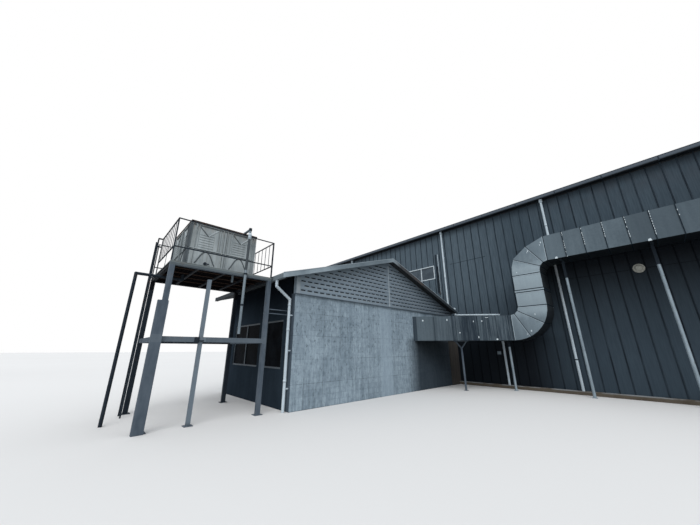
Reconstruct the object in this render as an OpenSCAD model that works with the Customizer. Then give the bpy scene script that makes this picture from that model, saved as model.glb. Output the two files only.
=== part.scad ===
// Steel-clad factory hall with a masonry annex, a square air duct on posts and a water tank tower.
// +X runs from the yard towards the hall, +Y along the hall away from the yard, +Z up.
// Working positions count X from the hall's cladding face and Y from the hall's near end;
// the origin is then moved to the middle of the building's base.

/* [Hall] */
// Length of the hall along its eaves
hall_len = 30000; // [28500:100:31500]
// Depth of the hall from wall to wall
hall_depth = 18000; // [16000:100:19500]
// Height of the long walls
hall_h = 9710; // [9300:10:10200]
// Rise of the hall roof for each metre
hall_pitch = 83; // [40:1:120]
// Thickness of the hall's clad walls
hall_wall = 200; // [150:10:260]
// Thickness of the hall's roof build-up
hall_roof_t = 150; // [110:5:200]
// Height of the gutter band along the eaves
gutter_h = 215; // [170:5:260]
// How far the gutter band stands out from the wall
gutter_out = 300; // [240:10:340]
// Outer diameter of the rainwater pipes
pipe_d = 110; // [90:5:120]

/* [Hall window] */
// Distance of the window from the annex's gable wall, along the hall
win_gap = 1040; // [950:10:1300]
// Width of the window over its two panes
win_w = 2100; // [1800:10:2300]
// Height of the window
win_h = 950; // [800:10:1050]
// Height of the window's sill above the ground
win_sill = 6580; // [6400:10:6750]

/* [Annex] */
// Distance of the annex's gable wall from the hall's near end
annex_y = 14740; // [14740:10:15200]
// Length of the annex along the hall
annex_len = 6000; // [6000:50:6800]
// Width of the annex from the hall to its outer wall
annex_w = 11670; // [11600:10:11690]
// Height of the masonry in the gable wall
annex_masonry = 3890; // [3750:10:3920]
// Height of the annex's ridge
annex_ridge = 6270; // [6220:10:6380]
// Distance of the annex's ridge from the hall wall
annex_ridge_gap = 6390; // [6300:10:6480]
// Rise of the annex's left roof slope for each metre
annex_pitch = 303; // [296:1:308]
// Rise of the annex's right roof slope for each metre
annex_right_pitch = 343; // [335:1:350]
// Thickness of the annex's masonry
annex_wall = 240; // [200:10:300]
// Overhang of the roof in front of the gable
verge_out = 380; // [300:10:420]
// Overhang of the roof beyond the window wall
eave_out = 640; // [600:10:650]

/* [Duct] */
// Side of the square duct
duct_w = 1220; // [1180:10:1240]
// Height of the lower run's underside
duct_low = 2365; // [2320:5:2460]
// Height of the upper run's underside
duct_high = 6030; // [5950:10:6200]
// Clear gap between the duct and the hall wall
duct_gap = 200; // [180:5:215]
// Inner radius of the two bends
bend_r = 400; // [360:10:420]
// Distance of the riser from the hall's near end
riser_y = 9370; // [9350:10:9430]
// Length of one sheet of the upper run
sheet_len = 720; // [700:10:820]
// Diameter of the duct's round posts
post_d = 110; // [90:5:120]

/* [Tank tower] */
// Width of the tower across its two outer front columns
tower_w = 3130; // [3060:10:3160]
// Depth of the tower
tower_l = 3080; // [3000:10:3160]
// Side of the tower's square columns
col_w = 130; // [110:5:150]
// Height of the platform's underside
deck_z = 4260; // [4220:10:4320]
// Height of the guard rail above the platform
rail_h = 1330; // [1250:10:1360]
// Side of the square water tank
tank_w = 2090; // [2000:10:2130]
// Height of the water tank
tank_h = 1425; // [1360:5:1460]

/* [Hidden] */
lap = 0.3;
$fn = 24;

steel_dark = [0.23, 0.27, 0.31];
trim_grey = [0.30, 0.32, 0.34];
duct_grey = [0.36, 0.40, 0.43];
duct_pale = [0.52, 0.56, 0.58];
masonry = [0.48, 0.52, 0.54];
siding_grey = [0.34, 0.39, 0.42];
pipe_white = [0.80, 0.82, 0.82];
tower_blue = [0.31, 0.35, 0.39];
tank_cream = [0.60, 0.60, 0.55];

// Hall
ridge_x = hall_depth / 2;
verge_t = 50;
function hall_under(x) = hall_h + hall_pitch * min(x, hall_depth - x) / 1000;
function hall_top(x) = hall_under(x) + hall_roof_t;
gutter_top = hall_h + 60 + gutter_h;
gutter_bottom = gutter_top - gutter_h;
pipe_r = pipe_d / 2;
pipe_x = -pipe_r - 65;
kerb_h = 160;
kerb_out = 190;

// Annex
annex_back = annex_y + annex_len;
valley = 300;
eave_x = -annex_w - eave_out;
annex_ridge_x = -annex_ridge_gap;
roof_t = 110;
siding_t = 40;
function annex_top(x) = annex_ridge
    - (x < annex_ridge_x ? annex_pitch : annex_right_pitch) * abs(x - annex_ridge_x) / 1000;
function annex_under(x) = annex_top(x) - roof_t;
floor_t = 150;
win_lo = 1270;
win_hi = 3000;
eave_gutter = 110;
drop_gap = 2740;
far_pipe_gap = hall_len / 5;
panel_t = 45;
// start and end of each window, counted along the window wall from the gable's face
annex_windows = [[710, 2060], [2610, 5160]];

// Duct
duct_x1 = -duct_gap;
duct_x0 = duct_x1 - duct_w;
riser_end = riser_y + duct_w;
low_bend_y = riser_end + bend_r;
low_bend_z = duct_low + duct_w + bend_r;
high_bend_y = riser_y - bend_r;
high_bend_z = duct_high - bend_r;
duct_start_x = -4500;
duct_end = 600;
post_x = (duct_x0 + duct_x1) / 2;
post_step = 2990;
post_head = 870;
riser_joint = 4665;
riser_collar = 95;
bend_lip = 30;

// Tower
tower_gap = 60;
tower_x1 = eave_x - eave_gutter - tower_gap;
tower_x0 = tower_x1 - tower_w;
tower_y0 = annex_y + 330;
tower_y1 = tower_y0 + tower_l;
beam_h = 90;
deck_t = 30;
deck_top = deck_z + beam_h + deck_t;
tank_x0 = tower_x0 + 415;
tank_y0 = tower_y0 + 240;
tank_top = deck_top + tank_h;
mid_z = 2140;
mid_h = 140;
mid_col = 1065;
mid_col_w = 100;
mid_col_h = deck_z - 285;
bar = 30;
rail_low = rail_h - 915;
ladder_gap = 700;
inlet_r = 45;
inlet_x = tower_x0 - 590;
inlet_y = tower_y0 + 1500;
lid_t = 40;

// Middle of the base
x_min = inlet_x - inlet_r;
x_max = hall_depth + gutter_out;
mid_x = (x_min + x_max) / 2;
mid_y = hall_len / 2;

module placed() {
    translate([-mid_x, -mid_y, 0]) children();
}

module block(x, y, z) {
    translate([x[0], y[0], z[0]]) cube([x[1] - x[0], y[1] - y[0], z[1] - z[0]]);
}

// Outline given in X and Z, carried along Y
module along_y(outline, y) {
    translate([0, y[1], 0]) rotate([90, 0, 0]) linear_extrude(y[1] - y[0]) polygon(outline);
}

// Outline given in Y and Z, carried along X
module along_x(outline, x) {
    translate([x[0], 0, 0]) rotate([90, 0, 90]) linear_extrude(x[1] - x[0]) polygon(outline);
}

// Round bar or pipe between two points
module rod(a, b, r) {
    d = b - a;
    len = norm(d);
    translate(a) rotate([0, acos(d[2] / len), atan2(d[1], d[0])]) cylinder(h = len, r = r);
}

// Pipe through a list of points with a slightly thicker elbow at each turn
module pipe_run(points, r) {
    for (i = [0 : len(points) - 2]) rod(points[i], points[i + 1], r);
    if (len(points) > 2) for (i = [1 : len(points) - 2]) translate(points[i]) sphere(r = r + 4);
}

// Hall

module hall_long_wall(x_out, x_in) {
    lo = min(x_out, x_in);
    hi = max(x_out, x_in);
    along_y([[lo, 0], [hi, 0], [hi, hall_under(hi)], [lo, hall_under(lo)]],
        [hall_wall, hall_len - hall_wall]);
}

module hall_front_wall() {
    y0 = annex_y + win_gap;
    color(steel_dark) placed() difference() {
        hall_long_wall(0, hall_wall);
        block([-10, hall_wall + 10], [y0, y0 + win_w], [win_sill, win_sill + win_h]);
    }
}

module hall_rear_wall() {
    color(steel_dark) placed() hall_long_wall(hall_depth, hall_depth - hall_wall);
}

module hall_end_wall(y) {
    along_y([
        [0, 0], [hall_depth, 0], [hall_depth, hall_under(hall_depth)],
        [ridge_x, hall_under(ridge_x)], [0, hall_under(0)]
    ], [y, y + hall_wall]);
}

module hall_near_end_wall() {
    color(steel_dark) placed() hall_end_wall(0);
}

module hall_far_end_wall() {
    color(steel_dark) placed() hall_end_wall(hall_len - hall_wall);
}

module hall_front_roof_slope() {
    color(trim_grey) placed() along_y([
        [0, hall_under(0)], [ridge_x, hall_under(ridge_x)],
        [ridge_x, hall_top(ridge_x)], [0, hall_top(0)]
    ], [0, hall_len]);
}

module hall_rear_roof_slope() {
    color(trim_grey) placed() along_y([
        [ridge_x, hall_under(ridge_x)], [hall_depth, hall_under(hall_depth)],
        [hall_depth, hall_top(hall_depth)], [ridge_x, hall_top(ridge_x)]
    ], [0, hall_len]);
}

module hall_ridge_cap() {
    w = 350;
    t = 25;
    color(trim_grey) placed() along_y([
        [ridge_x - w, hall_top(ridge_x - w)], [ridge_x, hall_top(ridge_x)],
        [ridge_x + w, hall_top(ridge_x + w)], [ridge_x + w, hall_top(ridge_x + w) + t],
        [ridge_x, hall_top(ridge_x) + t], [ridge_x - w, hall_top(ridge_x - w) + t]
    ], [0, hall_len]);
}

// Box gutter standing against the roof's edge
module hall_gutter() {
    t = 20;
    along_y([
        [-gutter_out, gutter_bottom], [0, gutter_bottom], [0, hall_top(0)],
        [-t, hall_top(0)], [-t, gutter_bottom + t], [t - gutter_out, gutter_bottom + t],
        [t - gutter_out, gutter_top], [-gutter_out, gutter_top]
    ], [0, hall_len]);
}

module hall_gutters() {
    color(trim_grey) placed() {
        hall_gutter();
        translate([hall_depth, hall_len, 0]) rotate([0, 0, 180]) hall_gutter();
    }
}

// Folded flashing over the roof's edge at one end
module hall_verge_trim(y) {
    drop = 170;
    along_y([
        [0, hall_under(0) - drop], [ridge_x, hall_under(ridge_x) - drop],
        [hall_depth, hall_under(hall_depth) - drop],
        [hall_depth, hall_top(hall_depth) + 30],
        [ridge_x, hall_top(ridge_x) + 30], [0, hall_top(0) + 30]
    ], [y, y + verge_t]);
}

module hall_verge_trims() {
    color(trim_grey) placed() {
        hall_verge_trim(-verge_t);
        hall_verge_trim(hall_len);
    }
}

module hall_kerb() {
    color([0.55, 0.53, 0.49]) placed() {
        block([-kerb_out, 0], [0, annex_y - panel_t], [0, kerb_h]);
        block([-kerb_out, 0], [annex_back + 10, hall_len], [0, kerb_h]);
    }
}

module hall_window_frame() {
    y0 = annex_y + win_gap;
    f = 55;
    color([0.86, 0.87, 0.87]) placed() difference() {
        block([-15, 75], [y0, y0 + win_w], [win_sill, win_sill + win_h]);
        for (i = [0, 1])
            block([-20, 80], [y0 + (i == 0 ? f : win_w / 2 + f / 2),
                y0 + (i == 0 ? win_w / 2 - f / 2 : win_w - f)], [win_sill + f, win_sill + win_h - f]);
    }
}

module hall_window_glass() {
    y0 = annex_y + win_gap;
    f = 55;
    color([0.16, 0.20, 0.23]) placed() for (i = [0, 1])
        block([25, 35], [y0 + (i == 0 ? f : win_w / 2 + f / 2),
            y0 + (i == 0 ? win_w / 2 - f / 2 : win_w - f)], [win_sill + f, win_sill + win_h - f]);
}

// Clip that holds a pipe to the wall behind it
module wall_clip(y, z) {
    block([pipe_x, 0], [y - 30, y + 30], [z - 20, z + 20]);
}

module hall_downpipe(y, foot) {
    top = gutter_bottom;
    rod([pipe_x, y, foot], [pipe_x, y, top], pipe_r);
    translate([pipe_x, y, top - 170]) cylinder(h = 170, r1 = pipe_r, r2 = pipe_r + 35);
    for (z = [1200 : 2400 : top - 600]) wall_clip(y, z);
}

module hall_downpipes() {
    color(pipe_white) placed() {
        hall_downpipe(riser_y - 420, kerb_h);
        hall_downpipe(hall_len - far_pipe_gap, kerb_h);
    }
}

// Pipe that comes down on the annex roof, turns in front of the gable and drops to the yard
module diverted_downpipe() {
    y = annex_y + 230;
    turn = annex_top(-valley) + 210;
    drop_y = annex_y - drop_gap;
    low = annex_masonry + 100;
    fall = 200;
    color(pipe_white) placed() {
        rod([pipe_x, y, turn], [pipe_x, y, gutter_bottom], pipe_r);
        translate([pipe_x, y, gutter_bottom - 170]) cylinder(h = 170, r1 = pipe_r, r2 = pipe_r + 35);
        pipe_run([
            [pipe_x, y, turn + 10], [pipe_x, y, turn], [pipe_x, annex_y - 180, turn],
            [pipe_x, annex_y - 180, low], [pipe_x, drop_y, low - fall], [pipe_x, drop_y, kerb_h]
        ], pipe_r);
        for (z = [5600, 7900]) wall_clip(y, z);
        for (z = [700, 2400]) wall_clip(drop_y, z);
    }
}

// Round lamp under the duct
module wall_lamp() {
    y = 6080;
    z = 5280;
    color([0.72, 0.72, 0.68]) placed() {
        translate([-45, y, z]) rotate([0, 90, 0]) cylinder(h = 45, r = 190);
        translate([-120, y, z]) rotate([0, 90, 0]) cylinder(h = 75, r1 = 95, r2 = 150);
    }
}

// Two flat conduits beside the window and a junction box low on the wall
module wall_conduits() {
    color([0.13, 0.15, 0.17]) placed() {
        for (i = [0, 1])
            block([-60, 0], [annex_y + 735 + 95 * i, annex_y + 785 + 95 * i],
                [5450 + 130 * i, 7400 + 880 * i]);
        block([-90, 0], [annex_y - drop_gap + 180, annex_y - drop_gap + 400], [1640, 1860]);
    }
}

// Annex

module annex_gable_wall() {
    color(masonry) placed() block([-annex_w, 0], [annex_y, annex_y + annex_wall], [0, annex_masonry]);
}

module annex_siding_panel(y) {
    along_y([
        [-annex_w, annex_masonry], [-valley, annex_masonry], [-valley, annex_under(-valley)],
        [annex_ridge_x, annex_under(annex_ridge_x)], [-annex_w, annex_under(-annex_w)]
    ], y);
}

module annex_gable_siding() {
    color(siding_grey) placed() annex_siding_panel([annex_y - siding_t, annex_y + 120]);
}

module annex_rear_wall() {
    color(masonry) placed() {
        block([-annex_w, 0], [annex_back - annex_wall, annex_back], [0, annex_masonry - 120]);
        along_y([
            [-annex_w, annex_masonry - 120], [-valley, annex_masonry - 120],
            [-valley, annex_under(-valley)],
            [annex_ridge_x, annex_under(annex_ridge_x)], [-annex_w, annex_under(-annex_w)]
        ], [annex_back - annex_wall, annex_back]);
    }
}

module annex_side_wall() {
    color(masonry) placed() difference() {
        along_y([
            [-annex_w, 0], [annex_wall - annex_w, 0],
            [annex_wall - annex_w, annex_under(annex_wall - annex_w)],
            [-annex_w, annex_under(-annex_w)]
        ], [annex_y + annex_wall, annex_back - annex_wall]);
        for (w = annex_windows)
            block([-annex_w - 10, annex_wall - annex_w + 10],
                [annex_y + w[0], annex_y + w[1]], [win_lo, win_hi]);
    }
}

module annex_floor() {
    color([0.42, 0.42, 0.41]) placed()
        block([annex_wall - annex_w, 0], [annex_y + annex_wall, annex_back - annex_wall], [0, floor_t]);
}

module annex_roof_slope(a, b) {
    along_y([
        [a, annex_under(a)], [b, annex_under(b)], [b, annex_top(b)], [a, annex_top(a)]
    ], [annex_y - verge_out, annex_back + verge_out]);
}

module annex_left_roof_slope() {
    color([0.50, 0.52, 0.52]) placed() annex_roof_slope(eave_x, annex_ridge_x);
}

module annex_right_roof_slope() {
    color([0.50, 0.52, 0.52]) placed() annex_roof_slope(annex_ridge_x, -valley);
}

// Pale board that closes the roof's edge over each gable
module annex_verge_board(a, b, y) {
    drop = 60;
    along_y([
        [a, annex_under(a) - drop], [b, annex_under(b) - drop],
        [b, annex_top(b) + 20], [a, annex_top(a) + 20]
    ], [y, y + 30]);
}

module annex_verge_boards() {
    color([0.55, 0.57, 0.57]) placed() for (y = [annex_y - verge_out - 30, annex_back + verge_out]) {
        annex_verge_board(eave_x - eave_gutter, annex_ridge_x, y);
        annex_verge_board(annex_ridge_x, -valley, y);
    }
}

// Corner strip, ridge strip and drip strip that edge the siding
module annex_siding_trims() {
    face = annex_y - siding_t;
    color([0.56, 0.60, 0.62]) placed() {
        block([-annex_w, 170 - annex_w], [face - 12, face], [annex_masonry, annex_under(-annex_w) - 60]);
        block([annex_ridge_x - 30, annex_ridge_x + 30], [face - 12, face],
            [annex_masonry + 30, annex_under(annex_ridge_x) - 200]);
        block([-annex_w, -valley], [face - 25, face + 40], [annex_masonry - 25, annex_masonry]);
    }
}

module annex_gutter() {
    t = 12;
    w = eave_gutter;
    z = annex_under(eave_x);
    color([0.45, 0.47, 0.48]) placed() along_y([
        [eave_x - w, z - 85], [eave_x, z - 85], [eave_x, z + 60], [eave_x - t, z + 60],
        [eave_x - t, z - 85 + t], [eave_x - w + t, z - 85 + t], [eave_x - w + t, z + 80],
        [eave_x - w, z + 80]
    ], [annex_y - verge_out, annex_back + verge_out]);
}

module annex_downpipe() {
    r = 50;
    y = annex_y + 130;
    x_low = -annex_w - r - 85;
    x_top = eave_x - eave_gutter / 2;
    z = annex_under(eave_x) - 85;
    color(pipe_white) placed() {
        pipe_run([
            [x_top, y, z], [x_top, y, z - 220], [x_low, y, z - 625], [x_low, y, 0]
        ], r);
        for (h = [700, 1900, 3100])
            block([x_low, -annex_w], [y - 25, y + 25], [h - 20, h + 20]);
    }
}

module annex_window_frame(w) {
    f = 60;
    n = round((w[1] - w[0]) / 1250);
    step = (w[1] - w[0] - f) / n;
    difference() {
        block([30 - annex_w, 100 - annex_w], [annex_y + w[0], annex_y + w[1]], [win_lo, win_hi]);
        for (i = [0 : n - 1])
            block([20 - annex_w, 110 - annex_w],
                [annex_y + w[0] + i * step + f, annex_y + w[0] + (i + 1) * step],
                [win_lo + f, win_hi - f]);
    }
}

module annex_window_frames() {
    color([0.30, 0.32, 0.35]) placed() for (w = annex_windows) annex_window_frame(w);
}

module annex_window_glass() {
    f = 60;
    color([0.05, 0.06, 0.08]) placed() for (w = annex_windows) {
        n = round((w[1] - w[0]) / 1250);
        step = (w[1] - w[0] - f) / n;
        for (i = [0 : n - 1])
            block([60 - annex_w, 68 - annex_w],
                [annex_y + w[0] + i * step + f, annex_y + w[0] + (i + 1) * step],
                [win_lo + f, win_hi - f]);
    }
}

module annex_end_panel() {
    color([0.38, 0.34, 0.30]) placed()
        block([-1020, 0], [annex_y - panel_t, annex_y], [0, annex_masonry - 500]);
}

// Duct

// Plan of the lower run: slantwise from the gable wall, then square into the bend
run_slope = (annex_y - low_bend_y - 90) / (duct_x0 - duct_start_x);
run_cross = duct_w * sqrt(1 + 1 / pow(run_slope, 2));

module duct_lower_run() {
    color(duct_grey) placed() translate([0, 0, duct_low]) linear_extrude(duct_w) polygon([
        [duct_start_x, annex_y], [duct_x0, low_bend_y + 90], [duct_x0, low_bend_y],
        [duct_x1, low_bend_y],
        [duct_x1, annex_y - run_slope * (duct_x1 - duct_start_x - run_cross)],
        [duct_start_x + run_cross, annex_y]
    ]);
}

// Bend with flat cheeks and a folded throat, outline in Y and Z about its centre. The heel is
// given as pairs of an angle and a share of the full radius.
throat_folds = 3;
module duct_bend(cy, cz, from, heel) {
    along_x(concat(
        [for (h = heel) [cy, cz] + (bend_r + duct_w) * h[1] * [cos(from + h[0]), sin(from + h[0])]],
        [for (i = [throat_folds : -1 : 0]) [cy, cz] + bend_r
            * [cos(from + 90 * i / throat_folds), sin(from + 90 * i / throat_folds)]]
    ), [duct_x0, duct_x1]);
}

// Heel rolled to a curve
module duct_lower_bend() {
    color(duct_pale) placed()
        duct_bend(low_bend_y, low_bend_z, 180, [for (i = [0 : 9]) [10 * i, 1]]);
}

// Heel of three flat plates, the lowest a little bowed
module duct_upper_bend() {
    color(duct_pale) placed()
        duct_bend(high_bend_y, high_bend_z, 0, [[0, 1], [14, 1.005], [29, 1.015], [58, 0.94], [90, 1]]);
}

module duct_riser() {
    color(duct_pale) placed()
        block([duct_x0, duct_x1], [riser_y, riser_end], [low_bend_z, high_bend_z]);
}

module duct_upper_run() {
    color(duct_grey) placed()
        block([duct_x0, duct_x1], [duct_end, high_bend_y], [duct_high, duct_high + duct_w]);
}

// Raised collar round the duct at a joint, as a frame in X and Z
module run_collar(y) {
    r = 18;
    difference() {
        block([duct_x0 - r, duct_x1 + r], [y - 15, y + 15], [duct_high - r, duct_high + duct_w + r]);
        block([duct_x0, duct_x1], [y - 20, y + 20], [duct_high, duct_high + duct_w]);
    }
}

module duct_joint_flanges() {
    r = 18;
    color([0.42, 0.46, 0.49]) placed() {
        for (y = [high_bend_y - sheet_len - bend_lip : -sheet_len : duct_end + 100]) run_collar(y);
        difference() {
            block([duct_x0 - r, duct_x1 + r], [riser_y - r, riser_end + r],
                [riser_joint, riser_joint + riser_collar]);
            block([duct_x0, duct_x1], [riser_y, riser_end],
                [riser_joint - 10, riser_joint + riser_collar + 10]);
        }
        block([duct_x0 - 30, duct_x1 + 30], [duct_end - 40, duct_end], [duct_high - 30, duct_high + duct_w + 30]);
    }
}

post_rows = [for (i = [0 : 3]) riser_y - 870 - post_step * (i - 1)];
function post_top(y) = y > riser_end ? duct_low : duct_high;

module duct_posts() {
    color([0.60, 0.62, 0.62]) placed() for (y = post_rows) {
        rod([post_x, y, 0], [post_x, y, post_top(y) - (y > riser_end ? 300 : post_head)], post_d / 2);
        block([post_x - 90, post_x + 90], [y - 90, y + 90], [0, 15]);
    }
}

module duct_post_heads() {
    color([0.14, 0.16, 0.19]) placed() for (y = post_rows) {
        h = y > riser_end ? 300 : post_head;
        block([post_x - 50, post_x + 50], [y - 50, y + 50], [post_top(y) - h, post_top(y)]);
        block([post_x - 350, post_x + 350], [y - 50, y + 50], [post_top(y) - 60, post_top(y)]);
    }
}

module duct_forked_post() {
    p = [-2550, annex_y - 1540];
    u = [1, -run_slope] / norm([1, run_slope]);
    color([0.26, 0.29, 0.33]) placed() {
        rod([p[0], p[1], 0], [p[0], p[1], duct_low - 330], 50);
        for (s = [-1, 1])
            rod([p[0], p[1], duct_low - 380],
                [p[0] + s * u[0] * 270, p[1] + s * u[1] * 270, duct_low - 20], 38);
        translate([p[0], p[1], duct_low - 20]) rotate([0, 0, atan2(u[1], u[0])])
            translate([-360, -40, -20]) cube([720, 80, 40]);
        block([p[0] - 90, p[0] + 90], [p[1] - 90, p[1] + 90], [0, 15]);
    }
}

// Tank tower

columns = [
    [tower_x0, tower_y0], [tower_x1 - col_w, tower_y0],
    [tower_x0, tower_y1 - col_w], [tower_x1 - col_w, tower_y1 - col_w]
];

module tower_column(x, y, w, h) {
    block([x, x + w], [y, y + w], [15, h]);
    block([x - 60, x + w + 60], [y - 60, y + w + 60], [0, 15]);
}

module tower_columns() {
    color(tower_blue) placed() {
        for (c = columns) tower_column(c[0], c[1], col_w, deck_z);
        tower_column(tower_x0 + mid_col, tower_y0, mid_col_w, mid_col_h);
    }
}

module tower_beams() {
    inner = [tower_y0 + col_w, tower_y1 - col_w];
    color(tower_blue) placed() {
        for (y = [tower_y0, tower_y1 - col_w])
            block([tower_x0, tower_x1], [y, y + col_w], [deck_z, deck_z + beam_h]);
        block([tower_x0 + col_w, tower_x0 + mid_col], [tower_y0 + 10, tower_y0 + 90],
            [mid_z, mid_z + mid_h]);
        block([tower_x0 + mid_col + mid_col_w, tower_x1 - col_w], [tower_y0 + 10, tower_y0 + 90],
            [mid_z, mid_z + mid_h]);
        block([tower_x0 + col_w, tower_x1 - col_w], [tower_y1 - 90, tower_y1 - 10],
            [mid_z, mid_z + mid_h]);
        for (x = [tower_x0, tower_x1 - col_w]) {
            block([x + 20, x + col_w - 20], inner, [deck_z, deck_z + beam_h]);
            block([x + 20, x + col_w - 20], inner, [mid_z, mid_z + mid_h]);
        }
        for (i = [1 : 3]) {
            x = tower_x0 + i * tower_w / 4;
            block([x - 35, x + 35], inner, [deck_z + 10, deck_z + beam_h]);
        }
    }
}

module tower_deck() {
    color([0.20, 0.21, 0.23]) placed()
        block([tower_x0, tower_x1], [tower_y0, tower_y1], [deck_z + beam_h, deck_top]);
}

// One side of the guard rail along X, with or without upright bars between its rails
module rail_side(length, bars) {
    cube([bar, bar, rail_h]);
    translate([length - bar, 0, 0]) cube([bar, bar, rail_h]);
    for (z = [rail_low, rail_h - bar]) translate([0, 0, z]) cube([length, bar, bar]);
    if (bars > 0) for (i = [1 : bars])
        translate([i * length / (bars + 1) - 8, 7, rail_low]) cube([16, 16, rail_h - rail_low]);
}

// The left side stops short of the rear, where the ladder comes up
module tower_guard_rails() {
    y = tower_y0 + bar + 5;
    side = tower_l - 2 * bar - 10;
    color([0.22, 0.24, 0.27]) placed() translate([0, 0, deck_top]) {
        translate([tower_x0, tower_y0, 0]) rail_side(tower_w, 0);
        translate([tower_x0, tower_y1 - bar, 0]) rail_side(tower_w, 9);
        translate([tower_x0 + bar, y, 0]) rotate([0, 0, 90]) rail_side(side - ladder_gap, 7);
        translate([tower_x1, y, 0]) rotate([0, 0, 90]) rail_side(side, 9);
    }
}

// Ladder up to the gap in the guard rail; its front rail is held to the rail by two short bars
module tower_ladder() {
    r = 22;
    front = [tower_x0 - 110, tower_y1 - ladder_gap];
    rear = [front[0], front[1] + 400];
    post_y = tower_y1 - bar - 5 - ladder_gap;
    color([0.26, 0.29, 0.32]) placed() {
        rod([front[0], front[1], 0], [front[0], front[1], deck_top + rail_h], r);
        rod([rear[0], rear[1], 0], [rear[0], rear[1], deck_top + rail_h - 30], r);
        for (z = [300 : 300 : deck_top])
            rod([front[0], front[1], z], [rear[0], rear[1], z], 12);
        for (p = [front, rear])
            block([p[0], tower_x0], [p[1] - 15, p[1] + 15], [deck_top - deck_t, deck_top]);
        for (z = [rail_h - 30, rail_h - 330])
            block([front[0] - 10, tower_x0], [post_y - bar, front[1] + 10],
                [deck_top + z, deck_top + z + 30]);
    }
}

// Two thin bars that tie the tower's right column to the annex wall
module tower_ties() {
    color([0.35, 0.38, 0.41]) placed() for (z = [3120, 3260])
        block([tower_x1 - lap, -annex_w + lap], [tower_y0 + 40, tower_y0 + 70], [z, z + 30]);
}

module tower_service_box() {
    color([0.33, 0.38, 0.43]) placed()
        block([tower_x0 - 120, tower_x0 + 130], [tower_y0 - 120, tower_y0], [0, 3210]);
}

module water_tank() {
    t = 40;
    color(tank_cream) placed() difference() {
        block([tank_x0, tank_x0 + tank_w], [tank_y0, tank_y0 + tank_w], [deck_top, tank_top]);
        block([tank_x0 + t, tank_x0 + tank_w - t], [tank_y0 + t, tank_y0 + tank_w - t],
            [deck_top + t, tank_top + 10]);
    }
}

module tank_lid() {
    color([0.36, 0.26, 0.20]) placed()
        block([tank_x0 - 30, tank_x0 + tank_w + 30], [tank_y0 - 30, tank_y0 + tank_w + 30],
            [tank_top, tank_top + lid_t]);
}

module tank_inlet_pipe() {
    z = deck_z - 90;
    color([0.22, 0.24, 0.27]) placed()
        pipe_run([
            [inlet_x, inlet_y, 0], [inlet_x, inlet_y, z], [tank_x0 + 250, inlet_y, z],
            [tank_x0 + 250, inlet_y, deck_z + beam_h]
        ], inlet_r);
}

module tank_overflow_pipe() {
    r = 42;
    x = tower_x0 + 2150;
    y = tower_y0 - r - 20;
    top = tank_top + lid_t + 90;
    color([0.52, 0.56, 0.58]) placed() {
        pipe_run([
            [x, y, 2400], [x, y, top], [x, tank_y0 + 160, top],
            [x, tank_y0 + 160, tank_top + lid_t]
        ], r);
        block([x - 30, x + 30], [y, tower_y0], [deck_z + 40, deck_z + 80]);
        rod([x - 260, tank_y0 + 100, deck_z - 180], [x - 260, tank_y0 + 100, deck_z + beam_h], 36);
    }
}

hall_front_wall();
hall_rear_wall();
hall_near_end_wall();
hall_far_end_wall();
hall_front_roof_slope();
hall_rear_roof_slope();
hall_ridge_cap();
hall_gutters();
hall_verge_trims();
hall_kerb();
hall_window_frame();
hall_window_glass();
hall_downpipes();
diverted_downpipe();
wall_lamp();
wall_conduits();
annex_gable_wall();
annex_gable_siding();
annex_rear_wall();
annex_side_wall();
annex_floor();
annex_left_roof_slope();
annex_right_roof_slope();
annex_verge_boards();
annex_siding_trims();
annex_gutter();
annex_downpipe();
annex_window_frames();
annex_window_glass();
annex_end_panel();
duct_lower_run();
duct_lower_bend();
duct_riser();
duct_upper_bend();
duct_upper_run();
duct_joint_flanges();
duct_posts();
duct_post_heads();
duct_forked_post();
tower_columns();
tower_beams();
tower_deck();
tower_guard_rails();
tower_ladder();
tower_ties();
tower_service_box();
water_tank();
tank_lid();
tank_inlet_pipe();
tank_overflow_pipe();
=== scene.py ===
import math
import random

import bmesh
import bpy
from mathutils import Matrix, Vector


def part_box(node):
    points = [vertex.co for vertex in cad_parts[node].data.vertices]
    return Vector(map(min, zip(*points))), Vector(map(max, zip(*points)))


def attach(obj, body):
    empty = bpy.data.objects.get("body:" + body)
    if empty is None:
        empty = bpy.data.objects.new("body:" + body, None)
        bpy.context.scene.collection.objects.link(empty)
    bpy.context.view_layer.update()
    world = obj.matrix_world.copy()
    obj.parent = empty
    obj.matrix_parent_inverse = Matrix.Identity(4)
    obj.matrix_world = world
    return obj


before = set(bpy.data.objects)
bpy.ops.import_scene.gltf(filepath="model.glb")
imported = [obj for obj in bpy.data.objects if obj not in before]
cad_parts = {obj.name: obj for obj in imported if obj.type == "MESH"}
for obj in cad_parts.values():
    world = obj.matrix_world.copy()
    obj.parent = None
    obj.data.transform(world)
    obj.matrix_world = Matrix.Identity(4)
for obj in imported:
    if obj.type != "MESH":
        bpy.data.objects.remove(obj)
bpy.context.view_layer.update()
random.seed(11)


def tone(r, g, b):
    """Linear colour of a shade written in 0 to 255."""
    def lin(v):
        v = v / 255
        return v / 12.92 if v <= 0.04045 else ((v + 0.055) / 1.055) ** 2.4
    return (lin(r), lin(g), lin(b), 1.0)


# Shader maths

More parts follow.
